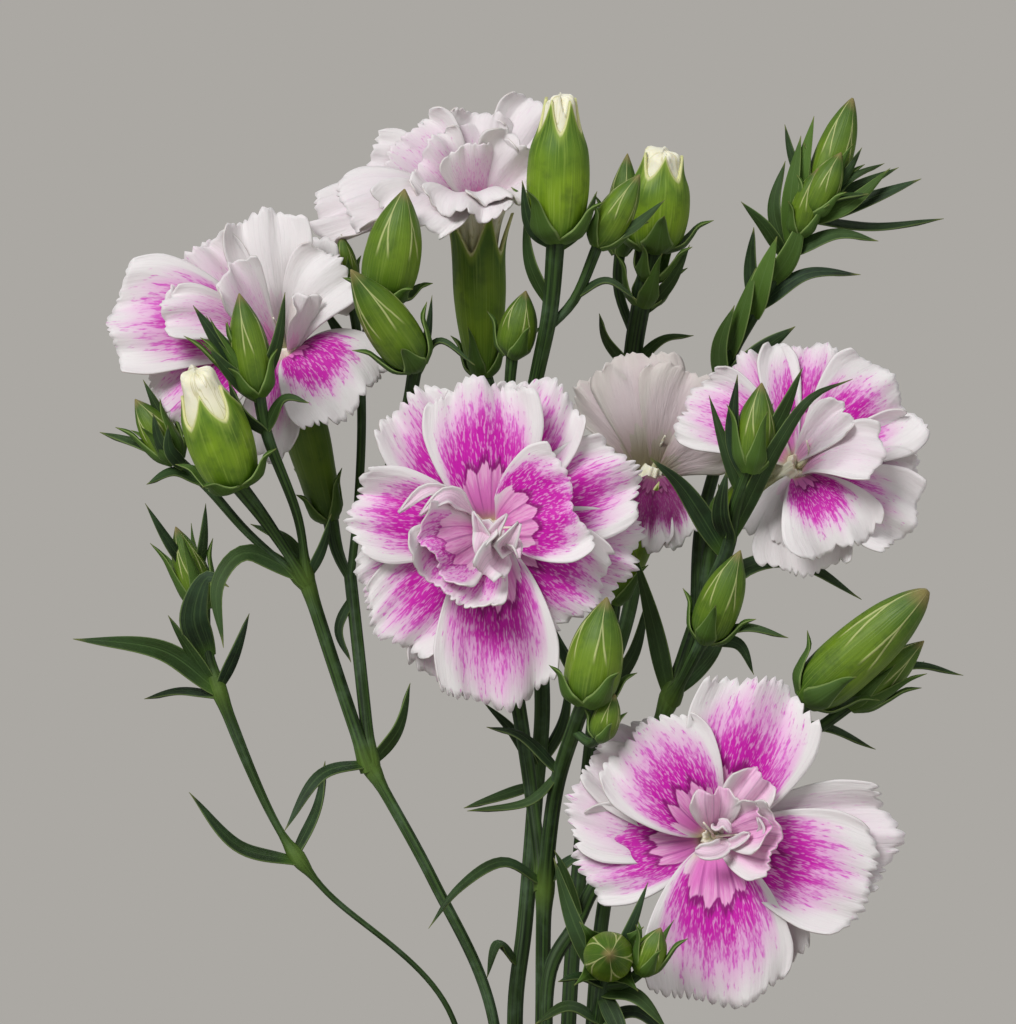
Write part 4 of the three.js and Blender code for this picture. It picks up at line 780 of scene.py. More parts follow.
flowerRight = {
    "throat": (40.5, -6, 216.8), "base": (28.5, 9, 208.5), "mouth": 3.5, "claw": 7, "flare": 0.9,
    "petals": [
        petal((22.5, -4, 226.3), 13.5, 0.5, (-0.2, -0.9, 0.3), (33, -9, 224), mark=0.8),
        petal((32, 0, 233.6), 13.5, 1.5, (0, -0.9, 0.3), (36, -6, 226), mark=0.7),
        petal((42.3, 0, 235.4), 15, 2.5, (0.1, -0.9, 0.3), (40, -6, 227), mark=0.9),
        petal((55.6, -3, 228.6), 19, 0.2, (0.2, -0.95, 0.2), (47, -9, 223), teeth=0.4, shift=-0.05,
         mark=1.15),
        petal((58.6, -3, 219.5), 12, 1.2, (0.3, -0.9, 0), (50, -8, 219), mark=0.5),
        petal((57.6, -5, 212.4), 12, 2.2, (0.3, -0.9, 0), (50, -8, 215), mark=0.5),
        petal((57.6, -8, 207.6), 14, 0.9, (0.2, -0.95, 0.2), (48, -11, 213), teeth=0.5, shift=-0.15,
         mark=0.85),
        petal((41, -8.5, 199.8), 15, 1.9, (-0.1, -0.95, 0.1), (40, -9, 210), mark=0.18),
        petal((36.4, -8, 204.4), 12, 2.9, (-0.2, -0.9, 0.1), (38, -9, 211), mark=0.18),
        petal((46.6, -12.5, 203.4), 16, 0.4, (0.1, -0.95, 0.2), (43, -14, 213), shift=-0.14, mark=1.35),
        petal((52.8, -15, 217.8), 10, 1.4, (0.1, -0.92, 0.38), (44, -16, 220.6), cup=1.4, teeth=0.3,
         mark=0.3),
        petal((47.3, -13, 225.4), 7, 2.6, (-0.1, -0.9, 0.4), (42, -12, 221), mark=0.3),
        petal((46, 8, 228), 15, 0.6, below=2.5, mark=0.5),
        petal((50, 6, 209), 15, 1.7, below=2.5, mark=0.5),
    ],
}

flowerBack = {
    "throat": (18.8, 8, 216.8), "base": (12.5, 13, 196), "mouth": 3.5, "claw": 7, "flare": 0.75,
    "petals": [
        petal((8.6, 8, 230.4), 12, 0.7, (0.2, 0.9, 0.3), (14, 5, 224)),
        petal((15.6, 6, 234), 14.5, 1.7, (0, 0.95, 0.2), (17, 3, 226)),
        petal((24.8, 5, 231.4), 14.5, 2.7, (-0.1, 0.95, 0.2), (21.5, 3, 225)),
        petal((29, 4, 220.4), 11, 0.2, (-0.3, 0.9, 0.2), (24, 3, 220)),
        # mark 1.6 marks these two hanging petals strongly and also paints them dark burgundy as painted shade
        petal((16.3, 0, 203.5), 9.5, 1.2, (0.2, -0.95, 0.1), (17.5, 1, 213), shift=-0.1, mark=1.6),
        petal((22.3, 1, 204), 9, 2.2, (-0.2, -0.95, 0.1), (20.8, 1, 213), shift=-0.1, mark=1.6),
        petal((20, 18, 230), 15, 0.9, lift=8),
        petal((11, 17, 226), 13, 1.4, lift=7),
        petal((28, 16, 224), 13, 2.4, lift=7),
    ],
}

blooms = {
    "flower_front": flowerFront, "flower_low": flowerLow, "flower_left": flowerLeft, "flower_top": flowerTop,
    "flower_right": flowerRight, "flower_back": flowerBack,
}

petalForm = {
    "thickness": 0.25, "rows": 24, "toothStep": 1.4, "toothDepth": 0.85, "scallop": 0.8,
    "scallopTurns": 5.5, "ruffle": 0.7, "ruffleTurns": 7.5, "startOut": 1.1, "startDown": 1.5,
    "clawShare": 0.11, "round": 0.1, "widest": 0.82, "lift": 5, "bendOut": 0.22, "wave": 0.7,
    "waveTurns": 5.2, "cup": 1.2, "mark": 1, "steps": 80,
}


def petalSkin(bloom, form, draw):
    size = {**petalForm, **bloom, **form}
    _, throat, axis, _ = endsOf(bloom, "throat")
    tip = np.array(form["tip"], float)
    away = tip - throat
    radial = away - axis * away.dot(axis)
    reach = np.linalg.norm(radial)
    radial /= reach
    below = form.get("below", 0)
    root = throat + size["startOut"] * radial - (size["startDown"] + below) * axis
    bend = throat + (size["lift"] - below) * axis + size["bendOut"] * reach * radial
    bend = np.array(form.get("bend", bend), float)
    side = unit(np.cross(form["face"], away)) if "face" in form else np.cross(axis, radial)

    teeth = max(5, round(form["width"] / size["toothStep"]))
    edges = np.cumsum(np.concatenate([[0], draw.uniform(0.5, 1.5, teeth)]))
    tooth = np.arange(4 * teeth + 1) / 4
    u = np.interp(tooth, np.arange(teeth + 1), edges / edges[-1] * 2 - 1)
    depths = draw.uniform(0.2, 1.2, teeth + 1) * form.get("teeth", size["toothDepth"])
    notch = np.abs(2 * (tooth % 1) - 1) ** draw.uniform(1, 2) * depths[np.round(tooth).astype(int)]
    first, second, third = draw.uniform(0, 6.28, 3)
    notch = notch + size["scallop"] * (1 + np.sin(size["scallopTurns"] * u + first)) * 0.5
    t = np.linspace(0, 1, size["steps"])[:, None]
    line = (1 - t) ** 2 * root + 2 * t * (1 - t) * bend + t * t * tip
    walked = np.concatenate([[0], np.cumsum(np.linalg.norm(np.diff(line, axis=0), axis=1))])
    v = np.linspace(0, 1, size["rows"])[:, None] ** 0.9
    u = u[None, :]
    along = v * (1 - size["round"] * u * u * v) - notch / walked[-1] * v ** 8

    t = along[..., None]
    centre = (1 - t) ** 2 * root + 2 * t * (1 - t) * bend + t * t * tip
    tangent = unit(2 * (1 - t) * (bend - root) + 2 * t * (tip - bend))
    normal = unit(np.cross(tangent, side))
    widest = size["widest"]
    spread = 1 - np.clip(1 - v / widest, 0, 1) ** 1.35 - 2 * np.clip(v - widest, 0, 1) ** 2
    half = form["width"] / 2 * (size["clawShare"] + (1 - size["clawShare"]) * spread)
    waves = (size["wave"] * v * v * np.sin(size["waveTurns"] * u + form["phase"])
             + size["cup"] * v * (u * u - 0.3))
    turns = size["ruffleTurns"]
    ruffle = size["ruffle"] * v**3 * (
        0.8 * np.sin(turns * u + second) + 0.25 * np.sin(2.3 * turns * u + third) * v**2)
    curl = form.get("curl", 0) * v**5
    lifted = (waves + ruffle + curl)[..., None] * normal
    grid = centre + (half * u)[..., None] * side + lifted - np.abs(curl)[..., None] * 0.35 * tangent
    across = np.broadcast_to((u + 1) / 2, along.shape)
    share = np.interp(along, np.linspace(0, 1, size["steps"]), walked / walked[-1])
    return sheetSkin(grid, size["thickness"], across, share, petalCoat,
                     seed=draw.uniform(), mark=size["mark"], shift=form.get("shift", 0))


curlForm = {"steps": 16, "columns": 17, "thickness": 0.3, "mark": 0.22}


def curlSkin(draw, route, widths, face, teeth=0):  # small curled petal in the middle of a bloom
    size = curlForm
    spine = smoothPath(route, size["steps"])
    share = np.linspace(0, 1, size["steps"])[:, None]
    tangent = unit(np.gradient(spine, axis=0))
    side = unit(np.cross(face, tangent))
    normal = np.cross(tangent, side)
    u = np.linspace(-1, 1, size["columns"])[None, :]
    blunt = np.sqrt(1 - np.clip((share - 0.86) / 0.14, 0, 0.96) ** 2)
    half = np.interp(share, np.linspace(0, 1, len(widths)), widths) / 2 * (1 if teeth else blunt)
    saw = teeth * draw.uniform(0.2, 1, (1, size["columns"])) * share**6
    rise = 0.35 * half * (u * u - 0.3) + 0.25 * np.sin(4 * u + draw.uniform(0, 6)) * share
    grid = (spine[:, None] - saw[..., None] * tangent[:, None] + (half * u)[..., None] * side[:, None]
            + rise[..., None] * normal[:, None])
    across = np.broadcast_to((u + 1) / 2, grid.shape[:2])
    along = np.broadcast_to(0.25 + 0.75 * share, grid.shape[:2])
    return sheetSkin(grid, size["thickness"], across, along, petalCoat,
                     seed=draw.uniform(), mark=size["mark"], shift=1.0)


styleForm = {"steps": 12, "sides": 10, "wide": 0.45, "narrow": 0.18, "flatness": 0.6, "lengths": (5.5, 4.5)}


def styleSkin(route, draw):  # tapered, slightly flattened horn
    size = styleForm
    spine = smoothPath(route, size["steps"])
    tangent = unit(np.gradient(spine, axis=0))
    across = unit(np.cross(tangent, (0.3, -0.8, 0.5)))
    rise = np.cross(across, tangent)
    share = np.linspace(0, 1, size["steps"])
    radius = (size["wide"] + (size["narrow"] - size["wide"]) * share**0.8)[:, None, None]
    turn = circle(size["sides"])[None, :, None]
    rings = spine[:, None] + radius * (
        np.cos(turn) * across[:, None] + size["flatness"] * np.sin(turn) * rise[:, None])
    return ringSkin(rings, 0.5 + 0.5 * share, creamCoat, seed=draw.uniform())


clawForm = {"wall": 1.0, "sides": 60, "lobes": 10, "depth": 0.16, "gap": 0.35, "deep": 0.4, "fit": 0.94}


def clawSkin(bloom):  # the bundle of petal claws that stands in the calyx, hollow on top
    size = clawForm
    base, throat, axis, _ = endsOf(bloom, "throat")
    mouth = throat - bloom["claw"] * axis
    foot = mouth - (np.linalg.norm(mouth - base) * size["deep"] - size["gap"]) * axis
    radius = bloom["mouth"] * size["fit"] - size["wall"]
    wide = radius * bloom["flare"]
    outline = smoothPath([
        (0, radius * 0.97), (0.4, radius), (0.7, (2 * radius + wide) / 3), (0.97, wide), (0.99, wide * 0.8),
        (0.95, wide * 0.5), (0.9, 0.3),
    ], 26)
    lobes = 1 - size["depth"] * (0.5 + 0.5 * np.cos(size["lobes"] * circle(size["sides"])))
    return turnedSkin(foot, throat, outline[:, 0], outline[:, 1:] * lobes, creamCoat, seed=0.3)


def bloomPiece(node, bloom, seed):
    draw = np.random.default_rng(seed)
    _, throat, axis, _ = endsOf(bloom, "throat")
    across, along = squareTo(axis)
    skins = [petalSkin(bloom, form, draw) for form in bloom["petals"]]
    skins += [curlSkin(draw, *form) for form in bloom.get("curls", [])]
    skins.append(clawSkin(bloom))
    for lean, length in zip((across, -0.7 * across + 0.7 * along), styleForm["lengths"]):
        route = [throat - axis, throat + 0.6 * length * axis + 0.15 * length * lean,
                 throat + length * axis + 0.6 * length * lean]
        skins.append(styleSkin(route, draw))
    return makeObject(pieceName(node), skins)


for number, (node, bloom) in enumerate(blooms.items()):
    settle(bloomPiece(node, bloom, 40 + number), node)


# opening buds: how far up the green cup reaches between its teeth and at their tips, and how wide its top is
budTipMiddle = {
    "base": (3.9, -2, 250.2), "tip": (4.6, -7, 272.1), "radius": 4.7, "bracts": 9, "valley": 0.76,
    "peak": 0.985, "top": 0.5,
}
budTipBack = {
    "base": (18.8, 21, 249.4), "tip": (20.4, 18, 265), "radius": 4.9, "bracts": 7, "valley": 0.74,
    "peak": 0.96, "top": 0.62,
}
budTipLeft = {
    "base": (-43.5, -16, 213.4), "tip": (-49.5, -22, 230.9), "radius": 4.9, "bracts": 5, "valley": 0.6,
    "peak": 0.84, "top": 0.6,
}
openings = {
    "bud_tip_middle": budTipMiddle, "bud_tip_back": budTipBack, "bud_tip_left": budTipLeft,
}

# green pieces, in millimetres: a stem has its route and its radius at both ends, a leaf its route, its width,
# where its upper side looks and how yellow it is, and a bud its ends, its radius, then the length, number and
# turn of the scales round it, how full and how yellow it is; slim thins the stems from foot to top
stemLeft = {
    "stems": [
        ([(-7.5, 6, 86), (-7.5, 6, 100), (-12.3, 6, 134.8), (-31.3, 5, 153.2), (-37.6, 4, 161.7),
         (-45, 4, 178.2), (-48.6, 4, 189), (-49, 3, 197)], 1.2, 0.9),
    ],
    "knots": [((-35.2, 4.4, 157.6), 1.8), ((-47.2, 4, 183), 1.8)],
    "slim": (0.38, 0.4, 0.4, 0.4, 0.5, 0.95, 1),
    "leaves": [
        ([(-35.2, 4.4, 157), (-43.8, 2, 159.3), (-51.1, -1, 167.7)], 2.8),
        ([(-35.5, 4.4, 157.5), (-32, 8, 165), (-31, 12, 172)], 2.6, (-0.7, -0.7, 0)),
        ([(-47.4, 4, 183), (-55, 1, 188.6), (-68.4, -3, 190.7)], 3.8, (0, -0.8, 0.5)),
        ([(-47.2, 4, 182), (-53, 6, 182.6), (-58.2, 7, 181.5)], 1.8),
        ([(-47.6, 4, 184), (-51, 2, 189), (-54.3, 0, 194.2)], 2.2, (-0.5, -0.8, 0)),
        ([(-47, 4, 183), (-44.4, 2, 188.5), (-42.1, 0, 194.5)], 2.2, (0.5, -0.8, 0)),
        ([(-48.6, 4, 188), (-50.4, 0, 194), (-48, -4, 200), (-45, -5, 198.5)], 4.6, (0, -1, 0.2)),
        ([(-49.5, 3, 199), (-53.5, 0, 204), (-57.6, -3, 211)], 2, (0, -0.9, 0.4)),
        ([(-50, 3, 200), (-49, 0, 206), (-48.6, -1, 211)], 1.8, (0.4, -0.9, 0)),
    ],
    "buds": [((-49, 3, 195), (-53.2, 1, 207.5), 2.7, 12.5, 5, 0.2)],
}

stemBranched = {
    "stems": [
        ([(-4.5, -6, 86), (-4.5, -6, 100), (-5.7, -5, 134.8), (-14.5, -5, 154.7),
         (-24, -4, 171.9)], 1.3, 1.06),
        ([(-24, -4, 171), (-28.7, -5, 185), (-33.4, -6, 199.5)], 1.6, 1.32),
        ([(-33.2, -6, 199), (-39.4, -11, 208.5), (-43.5, -16, 214)], 0.9, 1.6),
        ([(-33.3, -6, 199), (-34.5, -9, 208.5), (-39.1, -14.5, 221.4), (-40.3, -17, 228)], 0.9, 1.2),
        ([(-33.4, -6, 199), (-42, -7, 206.5), (-48.3, -8, 213.6), (-53, -9, 218)], 0.85, 1),
        ([(-23.8, -4, 171.5), (-25.5, -2, 187), (-27, 2, 200)], 1.5, 1.2),
        ([(-27, 2, 199.5), (-29, 6, 203.7), (-30.3, 8, 209.5)], 1, 1.6),
        ([(-27, 2, 199.5), (-25.8, 5, 212), (-25.4, 8, 225), (-26, 8, 236), (-27.4, 7, 244)], 1, 0.9),
        ([(-25.6, 8, 230), (-24.6, 3, 236), (-21.8, -5, 242.5)], 0.9, 1.5),
        ([(-26.4, 4, 205), (-22, 3, 214), (-18.4, -2, 225), (-16.9, -9, 232.5)], 1, 1.4),
    ],
    "knots": [((-23.9, -4, 172), 2.1), ((-33.4, -6, 199.8), 1.9)],
    "slim": (0.64, 0.8),
    "leaves": [
        ([(-24, -4, 172), (-31, -7, 170.4), (-36.6, -9, 162.2)], 2.6, (0, -0.6, 0.8)),
        ([(-24, -4, 172), (-20, -1, 177), (-18, 3, 184)], 2.4, (0.7, -0.7, 0)),
        ([(-40, -16.8, 227), (-45, -18.5, 233.5), (-49.8, -19.5, 240.2)], 3.2, (-0.3, -0.9, 0.3)),
        ([(-40, -16.6, 226.4), (-44, -19.5, 230), (-47.5, -21.5, 234)], 2.6, (-0.3, -0.9, 0.3)),
        ([(-40, -17, 228), (-37.4, -19.6, 235), (-36.2, -20, 242.2)], 2.2, (0.4, -0.9, 0)),
        ([(-39.2, -14.6, 221.6), (-36.2, -18, 226.5), (-32.6, -20, 225.8)], 2, (0, -0.8, 0.6)),
        ([(-39.1, -14.5, 221.4), (-42.6, -18, 224.5), (-44.6, -20, 229)], 2.4, (-0.6, -0.8, 0)),
        ([(-52, -9, 217), (-58, -8, 219.6), (-64.2, -7, 221.6)], 2.6, (0, -0.6, 0.8)),
        ([(-52.6, -9, 218), (-54.6, -10, 223.5), (-57.6, -10, 229.4)], 2.2, (-0.3, -0.9, 0)),
        ([(-52.4, -10, 217), (-54.8, -12.6, 220), (-56, -13.4, 224.4)], 2.4, (-0.4, -0.9, 0)),
        ([(-51.6, -10, 216.4), (-53.6, -12.8, 219), (-53.8, -13.6, 222.6)], 2.2, (0.2, -0.9, 0)),
        ([(-49, -8, 214), (-53, -9.5, 215.6), (-57, -12, 213.8)], 2.2),
        ([(-34, -6, 200), (-42.6, -8, 203.4), (-46.4, -10, 198.8), (-45.6, -11, 189.5)], 3.2,
         (-0.3, -0.8, 0.5)),
        ([(-33.2, -6, 200), (-31, -8, 204.5), (-29.6, -10, 209.4)], 1.8, (0.4, -0.9, 0)),
        ([(-33.4, -5, 200), (-37, -1, 205.5), (-42, 2, 207.9)], 3, (0, -0.7, 0.7)),
        ([(-26.6, 1, 197), (-28.6, -1, 192), (-26.8, -3, 187.2)], 1.8, (-0.5, -0.8, 0)),
        ([(-25.6, 8, 232), (-29.5, 7, 238), (-31.6, 4.5, 241.5)], 2, (-0.4, -0.9, 0)),
        ([(-17.6, -5, 229), (-15.4, -8, 236), (-14.6, -9, 242)], 1.7, (0.3, -0.9, 0)),
        ([(-17.5, -5, 229), (-13.6, -9, 235.2), (-8.2, -11, 231.5)], 1.4, (0.2, -0.7, 0.6)),
    ],
    "buds": [
        ((-40.2, -16.8, 226.8), (-43, -19.5, 242), 3.0, 7, 4, 0.9),
        ((-52.5, -9, 217.2), (-58.8, -10, 226.5), 2.7, 9.5, 6, 0.6),
        ((-27.2, 7, 243), (-28.4, 5, 251.5), 1.8, 6, 3, 0.2),
        ((-21.8, -5, 241.2), (-18.7, -9, 257.8), 4.3, 4, 4, 0.5),
        ((-16.7, -9, 231.2), (-26.6, -16, 245.6), 3.7, 8, 4, 1),
    ],
    "bracts": [
        ((-41.4, -17.6, 228.4), (-0.62, -0.15, 0.77), 1.7, 12, 6, 0.4),
        ((-42.6, -18, 230), (-0.5, -0.2, 0.8), 1.3, 8, 4, 1.1),
    ],
    "opening": (budTipLeft, 0.3),
    # tone 0.25 paints the left bloom's calyx dark green as painted shade under its bloom
    "calyx": (flowerLeft, 0.3, 0.25),
}

stemMiddle = {
    "stems": [
        ([(-1, 8.5, 86), (-1, 8.5, 100), (-2.2, 8, 134.8), (-0.8, 9, 147), (0.8, 11, 166.2),
         (1.9, 13, 181.5), (0, 14, 200), (-3.5, 14, 217), (-7, 14, 231)], 1.6, 1.5),
        ([(-1.8, 14, 210), (-1, 10, 221), (1.2, 6, 231), (3, 2, 240), (3.9, -2, 251)], 1.1, 1.8),
        ([(2.4, 3.6, 237), (6.6, 2, 241.5), (10.3, 0, 250)], 0.9, 1.1),
        ([(-1.2, 11, 219), (-3, 8, 227), (-2.6, 6, 234)], 0.8, 1.2),
    ],
    "leaves": [
        ([(-2, 8, 141.5), (-4.8, 5, 144.6), (-6.5, 2, 139.6)], 1.8),
        ([(1.2, 11.5, 170.5), (-2.5, 9, 176.6), (-7, 7, 181)], 2.2, (-0.5, -0.8, 0.2)),
        ([(1, 11, 168.4), (-4.6, 9, 166.6), (-10, 8, 165)], 2.2),
        ([(1.2, 11.6, 171), (5, 14, 178), (6, 17.6, 186)], 2.2, (0.5, 0.8, 0)),
        ([(3.6, -1.4, 249.5), (0.2, -4.5, 252.5), (-1.2, -6, 259.2)], 2.4, (-0.5, -0.9, 0)),
        ([(3, 2, 241), (0.2, 0, 247), (-0.8, -2, 254.5)], 2.6, (-0.6, -0.8, 0)),
        ([(4, -1.6, 249), (8, -4, 253), (10, -5.5, 257.6)], 2.2, (0.5, -0.9, 0)),
        ([(6.8, 2, 242), (11.5, 0, 244.4), (16, -1, 241.5)], 1.5),
        ([(10, 0, 250), (15, -2, 252), (20.2, -4, 256.4)], 2.2, (0.2, -0.8, 0.5)),
    ],
    "buds": [
        ((10, 0, 249.6), (16.4, -3, 260.2), 2.8, 7.5, 3, 0.7),
        ((-2.7, 6, 233), (-0.6, 4, 243), 2.9, 6, 3, 0.3),
    ],
    "opening": (budTipMiddle, -0.6),
    "calyx": (flowerTop, -0.9),
}

stemFront = {
    "stems": [
        ([(1.5, -1, 86), (1.5, -1, 100), (1.9, -2, 134.8), (2.2, -4, 152.8), (3.8, -10, 168.2),
         (6.6, -19, 178), (8.2, -25.5, 182.5)], 1.4, 1.5),
        ([(6.4, -18.5, 177.4), (9, -22, 175.6), (10.1, -24.5, 176.8)], 0.9, 1),
        ([(2, -4, 153), (0.5, 0, 165), (-2, 5, 182), (-5.4, 7.4, 198), (-6, 5, 205),
         (-6, 3.5, 205.2)], 1.2, 1.7),
    ],
    "knots": [((2, -4, 153.6), 2.1)],
    "leaves": [
        ([(2, -4, 154), (-4, -8, 157.4), (-10.7, -12, 153.6), (-15.1, -14, 147.9)], 2.2),
        ([(2.2, -4, 154), (7, -6, 158), (11, -6, 156.5)], 2.2),
        ([(4.2, -12, 171), (-1.6, -14, 176.5), (-6.5, -13.5, 177.8)], 2.2),
        ([(4.4, -12, 171), (0, -10, 166.6), (-9.4, -10, 165.2)], 1.8),
    ],
    "buds": [
        ((8.2, -25.5, 181.2), (11.2, -28, 197.2), 4.2, 7, 4, 0.5),
        ((10.1, -24.4, 176.2), (12.4, -27, 183), 2.1, 4.5, 3, 0),
    ],
    "calyx": (flowerFront, 0.3),
}

stemLow = {
    "stems": [
        ([(4.5, -8.5, 86), (4.5, -8.5, 100), (2.9, -7.5, 141), (6.9, -6, 148.2), (10, -3, 154), (18, 2, 158),
         (24, 2.6, 159.4), (26, 0, 159.6)], 1.1, 1.6),
    ],
    "leaves": [([(7.4, -5.8, 149), (5, -9, 156.5), (3.6, -10.5, 159.4)], 2, (-0.4, -0.9, 0))],
    "calyx": (flowerLow, 0.6),
}

stemBack = {
    "stems": [
        ([(5.5, 12, 86), (5.5, 12, 100), (6, 14, 134.8), (8.5, 17, 165), (10.5, 17, 182), (12.3, 14, 194),
         (12.6, 12.8, 197)], 1.4, 1.7),
        ([(10.4, 17, 180), (15.5, 24, 196), (17, 26, 215), (15.6, 25, 231), (18.8, 21, 250.5)], 1.3, 2),
        ([(16.2, 24.6, 236), (13.6, 27, 244), (14, 27, 251)], 0.9, 1.1),
    ],
    "leaves": [
        ([(10.4, 17, 181), (6, 20, 187), (2, 22, 195)], 2.6, (-0.6, 0.7, 0.2)),
        ([(10.4, 17, 181), (15.5, 15, 188), (18, 14, 197)], 2.6, (0.5, -0.8, 0)),
        ([(15.6, 25, 231.5), (11.8, 23, 236), (10.6, 21, 240)], 2, (-0.5, -0.8, 0)),
        ([(15.8, 25, 232), (20.5, 22, 236), (25, 20, 236.6)], 1.9, (0.2, -0.8, 0.5)),
        ([(17, 23.6, 240), (21.5, 20.5, 245), (24.4, 19, 250.4)], 2.4, (0.5, -0.8, 0.2)),
    ],
    "buds": [((13.8, 27, 249), (15, 26, 264.6), 2.6, 9, 3, 0.3)],
    "bracts": [
        ((17.2, 23, 241), (0.2, -0.1, 0.97), 3.2, 9, 4, 0.2),
        ((18, 22, 245), (0.3, -0.3, 0.9), 3, 8, 4, 1),
    ],
    "opening": (budTipBack, 0.1),
    "calyx": (flowerBack, 0.2),
}

stemRight = {
    "stems": [
        ([(9, 4, 86), (9, 4, 100), (9.6, 5, 134.8), (12, 5, 155), (16.5, 3, 170), (21.1, 1, 182.2),
         (25.5, -1, 195), (29.5, -6, 204.3), (30.4, -12, 210.2), (32.6, -16.5, 217)], 1.5, 1.3),
        ([(25.8, -1, 196), (27, 4.5, 203), (28.5, 9, 209.5)], 1.2, 1.7),
        ([(25, 0, 194), (26, 13, 208), (29, 18, 220), (29.8, 17, 231.2), (34.8, 15, 240.9), (39, 13, 248.4),
         (44.2, 12, 258)], 1.4, 1),
        ([(21.2, 1, 181.6), (23.5, -4, 186), (26.2, -8, 191.6)], 0.9, 1.3),
        ([(16.6, 3, 170.4), (27, 3.6, 172), (36, 1, 174.6), (39.6, -3, 178.6), (41.4, -5, 182.4)], 1.1, 1.8),
        ([(36, 1, 174.6), (42.6, 0.6, 176.9), (48.6, 0, 181.2)], 0.9, 1.2),
    ],
    "knots": [((21, 1, 182), 2.3)],
    "leaves": [
        ([(32.4, -16, 215.6), (36.4, -18, 222.8), (40.2, -19, 231)], 3, (0.4, -0.9, 0)),
        ([(31, -13.5, 212.6), (28.6, -17, 220), (26.4, -18, 227)], 2, (-0.3, -0.9, 0.2)),
        ([(32, -15.6, 214.6), (30, -18, 221), (30.6, -19, 230)], 2.6, (-0.3, -0.9, 0)),
        ([(29.8, -8, 205.8), (36.4, -19.5, 219.5), (41.5, -21.5, 226.6), (47.5, -22, 229.3)], 2.8,
         (0.3, -0.9, 0.3)),
        ([(29, -5, 203.6), (22.6, -8, 213.4), (17.8, -10, 217.8)], 3.4, (-0.3, -0.8, 0.5)),
        ([(29.8, -7, 205.4), (28.4, -12.5, 210), (29.2, -14.5, 216)], 3.4, (-0.4, -0.9, 0)),
        ([(29.5, 17, 228.5), (29, 14, 235), (31, 12, 241)], 3.4, (-0.6, -0.8, 0), 0.4),
        ([(29.8, 17, 229), (35.6, 14, 234.6), (40.2, 12, 237.8)], 3.6, (0.5, -0.8, 0.3)),
        ([(34.6, 15, 240.6), (42, 12, 245.6), (50, 10, 245.6)], 2.8, (0.2, -0.8, 0.6)),
        ([(34.5, 15, 240.6), (33.6, 13, 246.5), (33.9, 11, 252.8)], 2.8, (-0.6, -0.8, 0)),
        ([(39, 13, 248.6), (46.5, 10, 251.6), (52.6, 8, 250.6)], 2.8, (0.2, -0.8, 0.6)),
        ([(38.8, 13, 248.4), (35.6, 11, 253), (31.9, 9, 256.6)], 2.4, (-0.5, -0.8, 0.2)),
        ([(39, 13, 249), (37.2, 14, 256), (38.8, 15, 263)], 2.8, (-0.6, -0.8, 0)),
        ([(42, 12.4, 253.6), (51, 10, 256.8), (59.1, 8, 260)], 3, (0.3, -0.8, 0.5)),
        ([(42, 12.4, 254), (52, 13, 252.8), (62.8, 14, 254.2)], 2, (0, -0.7, 0.7)),
        ([(42.5, 12.3, 254.6), (50, 13, 259), (56, 15, 262)], 2.6, (0.3, -0.8, 0.5)),
        ([(42.5, 12.3, 255), (46.5, 8, 257), (51, 5, 257.6)], 2.6, (0.1, -0.6, 0.8)),
        ([(43.4, 12, 257), (40, 12, 263), (38.6, 12, 268.4)], 2, (-0.5, -0.8, 0)),
        ([(30.4, 16.6, 233.4), (32.4, 13, 240), (34.2, 11.5, 246.6)], 3.4, (-0.6, -0.8, 0), 0.6),
        ([(34, 15, 239.4), (35.2, 11.4, 244.6), (37.4, 10.4, 251.4)], 3.6, (-0.3, -0.9, 0), 0.75),
        ([(36.6, 13.6, 244.6), (39.4, 10.6, 249), (41.4, 9.6, 255)], 3.6, (0.3, -0.9, 0), 0.6),
        ([(39.6, 12.4, 250), (39.6, 10, 257.4), (41, 10, 266.6)], 3.2, (-0.5, -0.8, 0), 0.6),
        ([(40.6, 12, 253), (41.2, 10.4, 261), (43, 10.6, 269.6)], 2.8, (-0.3, -0.9, 0), 0.8),
        ([(45, 11.6, 257.6), (47.6, 9.6, 260.6), (50.2, 9.4, 264.8)], 1.7, (0.3, -0.9, 0)),
        ([(45, 11.6, 257), (49, 10, 260.4), (53.6, 9.4, 262.4)], 1.5, (0.1, -0.8, 0.5)),
        ([(42, 12, 253.6), (48, 8.4, 256), (54.4, 7.4, 261.6)], 2.6, (0.2, -0.9, 0.3), 0.5),
        ([(21, 1, 182), (18.6, -2, 193), (15.6, -5, 203.8)], 3.2, (-0.4, -0.9, 0)),
        ([(21.4, 1, 182.4), (27.5, 3, 189), (30.2, 4, 196)], 2.8, (0.3, -0.9, 0)),
        ([(25.6, -1, 195), (33, -1.5, 201.4), (40, -2, 202), (49.6, -3, 196.6)], 3.6, (0, -0.7, 0.7)),
        ([(26, -7, 190.6), (32, -9, 192.4), (38.4, -11, 191)], 2, (0, -0.7, 0.7)),
        ([(26.2, -7.5, 190.6), (31, -7, 190), (33.4, -6, 185.4)], 2, (0.3, -0.9, 0)),
        ([(36, 1, 174.6), (43, 2, 177.4), (52, 3, 174)], 2.2),
        ([(48, 0, 181), (57, 1, 186.5), (65, 0, 185.2)], 2, (0, -0.7, 0.7)),
    ],
    "buds": [
        ((32.6, -16.4, 215.6), (34.2, -18.4, 228.8), 3.1, 10, 5, 0.2),
        ((43.6, 12, 256.4), (48.9, 12, 272.4), 3, 10, 4, 0.4, 1.2),
        ((42.4, 10, 254.6), (47, 8, 264), 2.6, 6, 3, 0.1),
        ((40.6, 11.6, 251.6), (43.6, 8, 261.6), 2.4, 7, 4, 0.7),
        ((26, -8, 190.4), (31.2, -13, 204), 3.3, 8, 4, 0.6),
        ((41, -5, 181.6), (59.1, -11, 198), 4.4, 10, 4, 0.5, 1.6),
        ((47.8, 0, 180.6), (59, -2, 190.4), 2.9, 12.5, 7, 0.5),
    ],
    "calyx": (flowerRight, 0.4),
}

